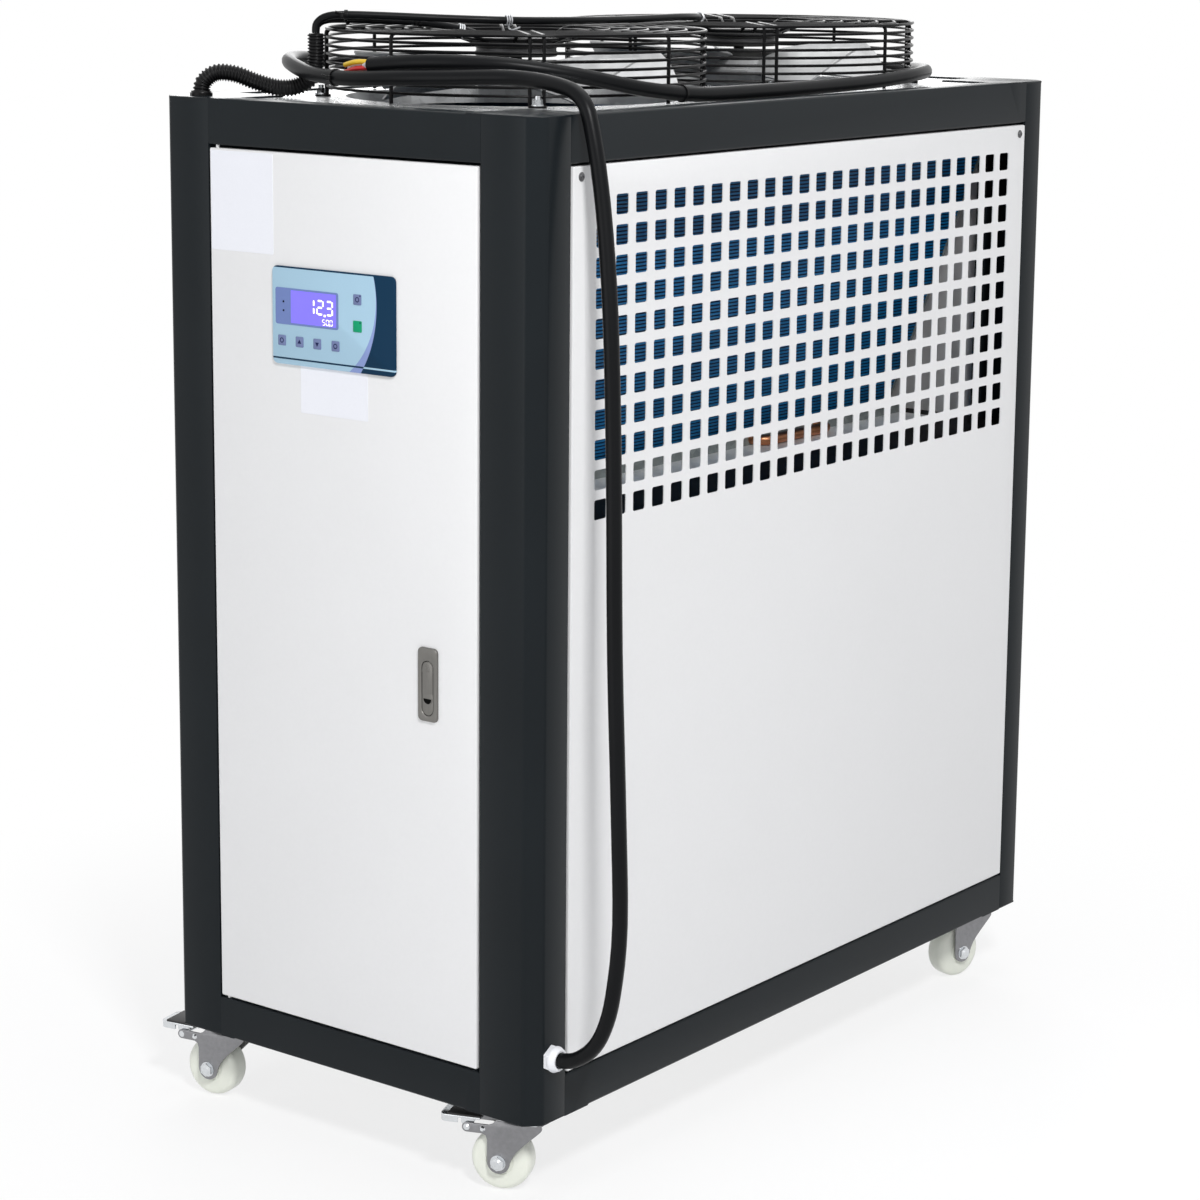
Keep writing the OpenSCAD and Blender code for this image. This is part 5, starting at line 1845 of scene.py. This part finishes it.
@dataclass
class Caster:
    """One caster: its top plate, swivel fork, wheel and, in front, its brake pedal."""

    name: str
    x: float
    y: float
    heading: float
    braked: bool
    base: float = 88.0
    wheel_r: float = 32.0
    wheel_w: float = 25.0
    trail: float = 24.0
    fork_t: float = 2.5
    leg_in: float = 16.5
    crown_top: float = 78.2
    boss_r: float = 12.0
    pedal_x: float = 58.0
    pedal_z: float = 66.2
    arm_r: float = 5.0
    arm_x: float = 41.0
    bolt_x: float = 27.0
    bolt_y: float = 22.0

    @property
    def place(self) -> Matrix:
        """The swivel's place, with the trail along X."""
        return moved(self.x, self.y, 0.0) @ turned(math.radians(self.heading), "Z")

    def top_plate(self, bm: bmesh.types.BMesh, bolts: bmesh.types.BMesh) -> None:
        """Adds the fixed plate, the ball race under it and the bolts.

        Args:
            bm: the mesh of the plates.
            bolts: the mesh of the bolts.
        """
        at = moved(self.x, self.y, 0.0)
        prism(bm, rounded_outline(72.0, 62.0, 8.0), at @ moved(0.0, 0.0, self.base - 3.0), 3.0, 0.5)
        race = [(0.0, 85.2), (24.0, 85.2), (23.6, 82.0), (21.0, 79.2), (19.0, 78.6), (0.0, 78.6)]
        nut = [(0.0, 75.4), (5.0, 75.4), (5.0, 74.9), (8.0, 74.6), (8.0, 71.2), (6.8, 70.0), (0.0, 70.0)]
        lathe(bm, race, at, 48)
        lathe(bm, nut, at, 32)
        for dx in (-self.bolt_x, self.bolt_x):
            for dy in (-self.bolt_y, self.bolt_y):
                spot = at @ Vector((dx, dy, 0.0))
                rod(bolts, spot + Vector((0.0, 0.0, 84.0)), spot + Vector((0.0, 0.0, 85.1)), 7.0, 24)
                rod(bolts, spot + Vector((0.0, 0.0, 82.0)), spot + Vector((0.0, 0.0, 84.1)), 6.2, 6)

    def leg_outline(self) -> list[Point2]:
        """Gives the outline of a fork leg in (x, z).

        Returns:
            A hollow rear flank, the axle boss and, with a brake, the pedal's arm.
        """
        bends = ((-22, 74, 0), (-21, 70, 0), (-11, 60.5, 0), (-1, 51, 0), (7, 42, 0), (12, 32, 0))
        flank = smooth_route(bends, 4)
        out: list[Point2] = [(p.x, p.y) for p in flank]
        out += arc(self.boss_r, math.pi, FULL_TURN, 12, (self.trail, self.wheel_r))[1:]
        if self.braked:
            out += [(36.0, 55.0), (37.5, 59.5), (self.arm_x, self.pedal_z - self.arm_r)]
            out += arc(self.arm_r, -math.pi / 2, math.pi / 2, 8, (self.pedal_x, self.pedal_z))
            out += [(34.0, self.pedal_z + self.arm_r), (30.5, 72.8)]
        else:
            out += [(36.0, 60.0), (34.5, 67.0)]
        out += [(26.0, self.crown_top - 0.8), (-20.0, self.crown_top - 0.8)]
        return out

    def fork(self) -> None:
        """Makes the stamped fork, its axle bolt and washers."""
        bm = bmesh.new()
        outline = self.leg_outline()
        for side in (-1.0, 1.0):
            y = side * self.leg_in if side < 0 else self.leg_in + self.fork_t
            stand = self.place @ moved(0.0, y, 0.0) @ UPRIGHT
            prism(bm, outline, stand, self.fork_t, 0.7)
        lathe(bm, [(5.2, self.crown_top), (24.0, self.crown_top), (26.0, self.crown_top - 1.4),
                   (26.0, self.crown_top - 3.0), (5.2, self.crown_top - 3.0)], self.place, 48, closed=True)
        top = bmesh.new()
        block(top, (-20.0, -self.leg_in - self.fork_t, self.crown_top - 3.0),
              (26.0, self.leg_in + self.fork_t, self.crown_top), 1.0)
        put(bm, top, self.place)
        finish_piece(bm, f"fork_shell_{self.name}", ZINC, f"caster_{self.name}", [f"fork_{self.name}"])
        bolt = bmesh.new()
        reach = self.leg_in + self.fork_t
        centre = Vector((self.trail, 0.0, self.wheel_r))
        across = Vector((0.0, reach, 0.0))
        over = Vector((0.0, 1.0, 0.0))
        part = bmesh.new()
        rod(part, centre - across - over, centre + across + over, 3.9, 24)
        for side in (-1.0, 1.0):
            for low, high, r, sides, end_r in ((0.0, 1.0, 8.2, 28, 8.2), (1.0, 4.4, 7.4, 6, 7.4),
                                               (4.4, 6.0, 5.6, 24, 3.6)):
                inner, outer = (centre + side * (across + far * over) for far in (low, high))
                rod(part, inner, outer, r, sides, end_r)
            if self.braked:
                spot = Vector((self.arm_x, side * reach, self.pedal_z))
                rod(part, spot, spot + Vector((0.0, side * 1.6, 0.0)), 3.2, 20, 1.8)
        put(bolt, part, self.place)
        finish_piece(bolt, f"axle_bolt_{self.name}", ZINC_BRIGHT, f"caster_{self.name}")

    def wheel(self) -> None:
        """Makes the domed nylon wheel with its hub rings."""
        r, w = self.wheel_r, self.wheel_w / 2
        edge = 7.0
        half = [(4.06, self.leg_in - 0.35), (8.6, self.leg_in - 0.35), (9.0, w + 1.7), (12.0, w + 1.4),
                (12.4, w + 0.6), (14.2, w + 0.5), (14.6, w + 1.1), (r - edge, w)]
        half += arc(edge, math.pi / 2, 0.0, 6, (r - edge, w - edge))[1:]
        profile = half + [(x, -y) for x, y in reversed(half)]
        place = self.place @ moved(self.trail, 0.0, r) @ UPRIGHT
        bm = bmesh.new()
        lathe(bm, profile, place, 64, closed=True)
        finish_piece(bm, f"nylon_wheel_{self.name}", IVORY, f"roller_{self.name}", [f"wheel_{self.name}"])

    def pedal(self) -> None:
        """Makes the brake pedal: a pressed tread with a turned edge, its pin and a rubber pad."""
        place = self.place @ moved(self.pedal_x, 0.0, self.pedal_z)
        bm = bmesh.new()
        side, tip, corner = 17.0, 30.0, 8.0
        bow = arc(corner, math.pi / 2, 0.0, 5, (tip - corner, side - corner))
        rim = [(10.0, side), *bow, *((x, -y) for x, y in reversed(bow)), (10.0, -side)]
        tread = [(-14.0, -side), *reversed(rim), (-14.0, side)]
        prism(bm, tread, place @ moved(0.0, 0.0, 8.0), 2.4, 0.6)
        put(bm, folded_sheet(rim, (3.0, 8.6), 2.0, 0.4), place)
        cheek = [(-7.0, 8.4), (-7.0, 4.0), (-4.2, -2.2), (0.0, -4.4), (4.2, -2.2), (7.0, 4.0), (7.0, 8.4)]
        for y in (15.5, -13.0):
            prism(bm, cheek, place @ moved(0.0, y, 0.0) @ UPRIGHT, 2.5, 0.4)
        pin = bmesh.new()
        reach = self.leg_in + self.fork_t
        rod(pin, Vector((0.0, -reach, 0.0)), Vector((0.0, reach, 0.0)), 2.45, 20)
        for way in (-1.0, 1.0):
            low, high = way * (reach - 0.1), way * (reach + 1.4)
            rod(pin, Vector((0.0, low, 0.0)), Vector((0.0, high, 0.0)), 3.6, 20, 2.0)
        put(bm, pin, place)
        finish_piece(bm, f"brake_pedal_{self.name}", ZINC_BRIGHT, f"brake_{self.name}",
                     [f"pedal_{self.name}"])
        pad = bmesh.new()
        part = bmesh.new()
        block(part, (-13.8, -16.6, 9.2), (21.6, 16.6, 12.4), 0.8)
        put(pad, part, place)
        finish_piece(pad, f"pedal_pad_{self.name}", PAD_BLACK, f"brake_{self.name}")

    def build(self) -> None:
        """Makes what turns on this caster."""
        self.fork()
        self.wheel()
        if self.braked:
            self.pedal()


@dataclass
class Running:
    """The four casters together, whose fixed plates are one piece."""

    casters: tuple[Caster, ...] = (
        Caster("front_left", -204.0, -431.5, 190.0, True),
        Caster("front_right", 204.0, -431.5, 201.0, True),
        Caster("rear_left", -204.0, 431.5, 254.0, False),
        Caster("rear_right", 204.0, 431.5, 254.0, False))

    def build(self) -> None:
        """Makes the casters and their plates."""
        plates, bolts = bmesh.new(), bmesh.new()
        for caster in self.casters:
            caster.top_plate(plates, bolts)
            caster.build()
        finish_piece(plates, "caster_mounts", ZINC, "cabinet", ["caster_plates"])
        finish_piece(bolts, "caster_bolts", ZINC_BRIGHT, "cabinet")


@dataclass
class WaterPort:
    """A threaded water port at the rear with its lock nuts."""

    name: str
    x: float
    face: float = 479.0
    z: float = 238.0
    r: float = 16.6
    bore: float = 12.0
    reach: float = 16.0
    inside: float = 40.0
    thread: float = 2.3

    def build(self) -> None:
        """Makes the port."""
        place = moved(self.x, self.face, self.z) @ turned(-math.pi / 2, "X")
        profile = [(self.bore, -self.inside), (self.r - 1.0, -self.inside)]
        z = -self.inside + 1.0
        while z < self.reach - self.thread:
            profile += [(self.r, z), (self.r, z + 0.5), (self.r - 1.0, z + self.thread / 2)]
            z += self.thread
        profile += [(self.r - 1.0, self.reach - 0.6), (self.r - 1.6, self.reach), (self.bore, self.reach)]
        bm = bmesh.new()
        lathe(bm, profile, place, 48, closed=True)
        for low in (0.0, -6.2):
            rod(bm, place @ Vector((0.0, 0.0, low)), place @ Vector((0.0, 0.0, low + 5.0)), self.r + 5.0, 6)
        finish_piece(bm, f"threaded_{self.name}", BRASS, "cabinet", [self.name])


def main() -> None:
    """Builds the chiller's looks round the frame."""
    logging.basicConfig(level=logging.INFO, format="%(name)s: %(message)s")
    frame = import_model()
    studio = Studio()
    studio.camera()
    Wiring().build()
    cabinet = Cabinet()
    cabinet.build(frame)
    Panels(cabinet).build()
    ControlUnit().build()
    Latch().build()
    Coil().build(frame)
    Fan("front", -202.5).build()
    Fan("rear", 202.5).build()
    Running().build()
    WaterPort("water_inlet", -65.0).build()
    WaterPort("water_outlet", 65.0).build()
    studio.build()


if __name__ == "__main__":
    main()
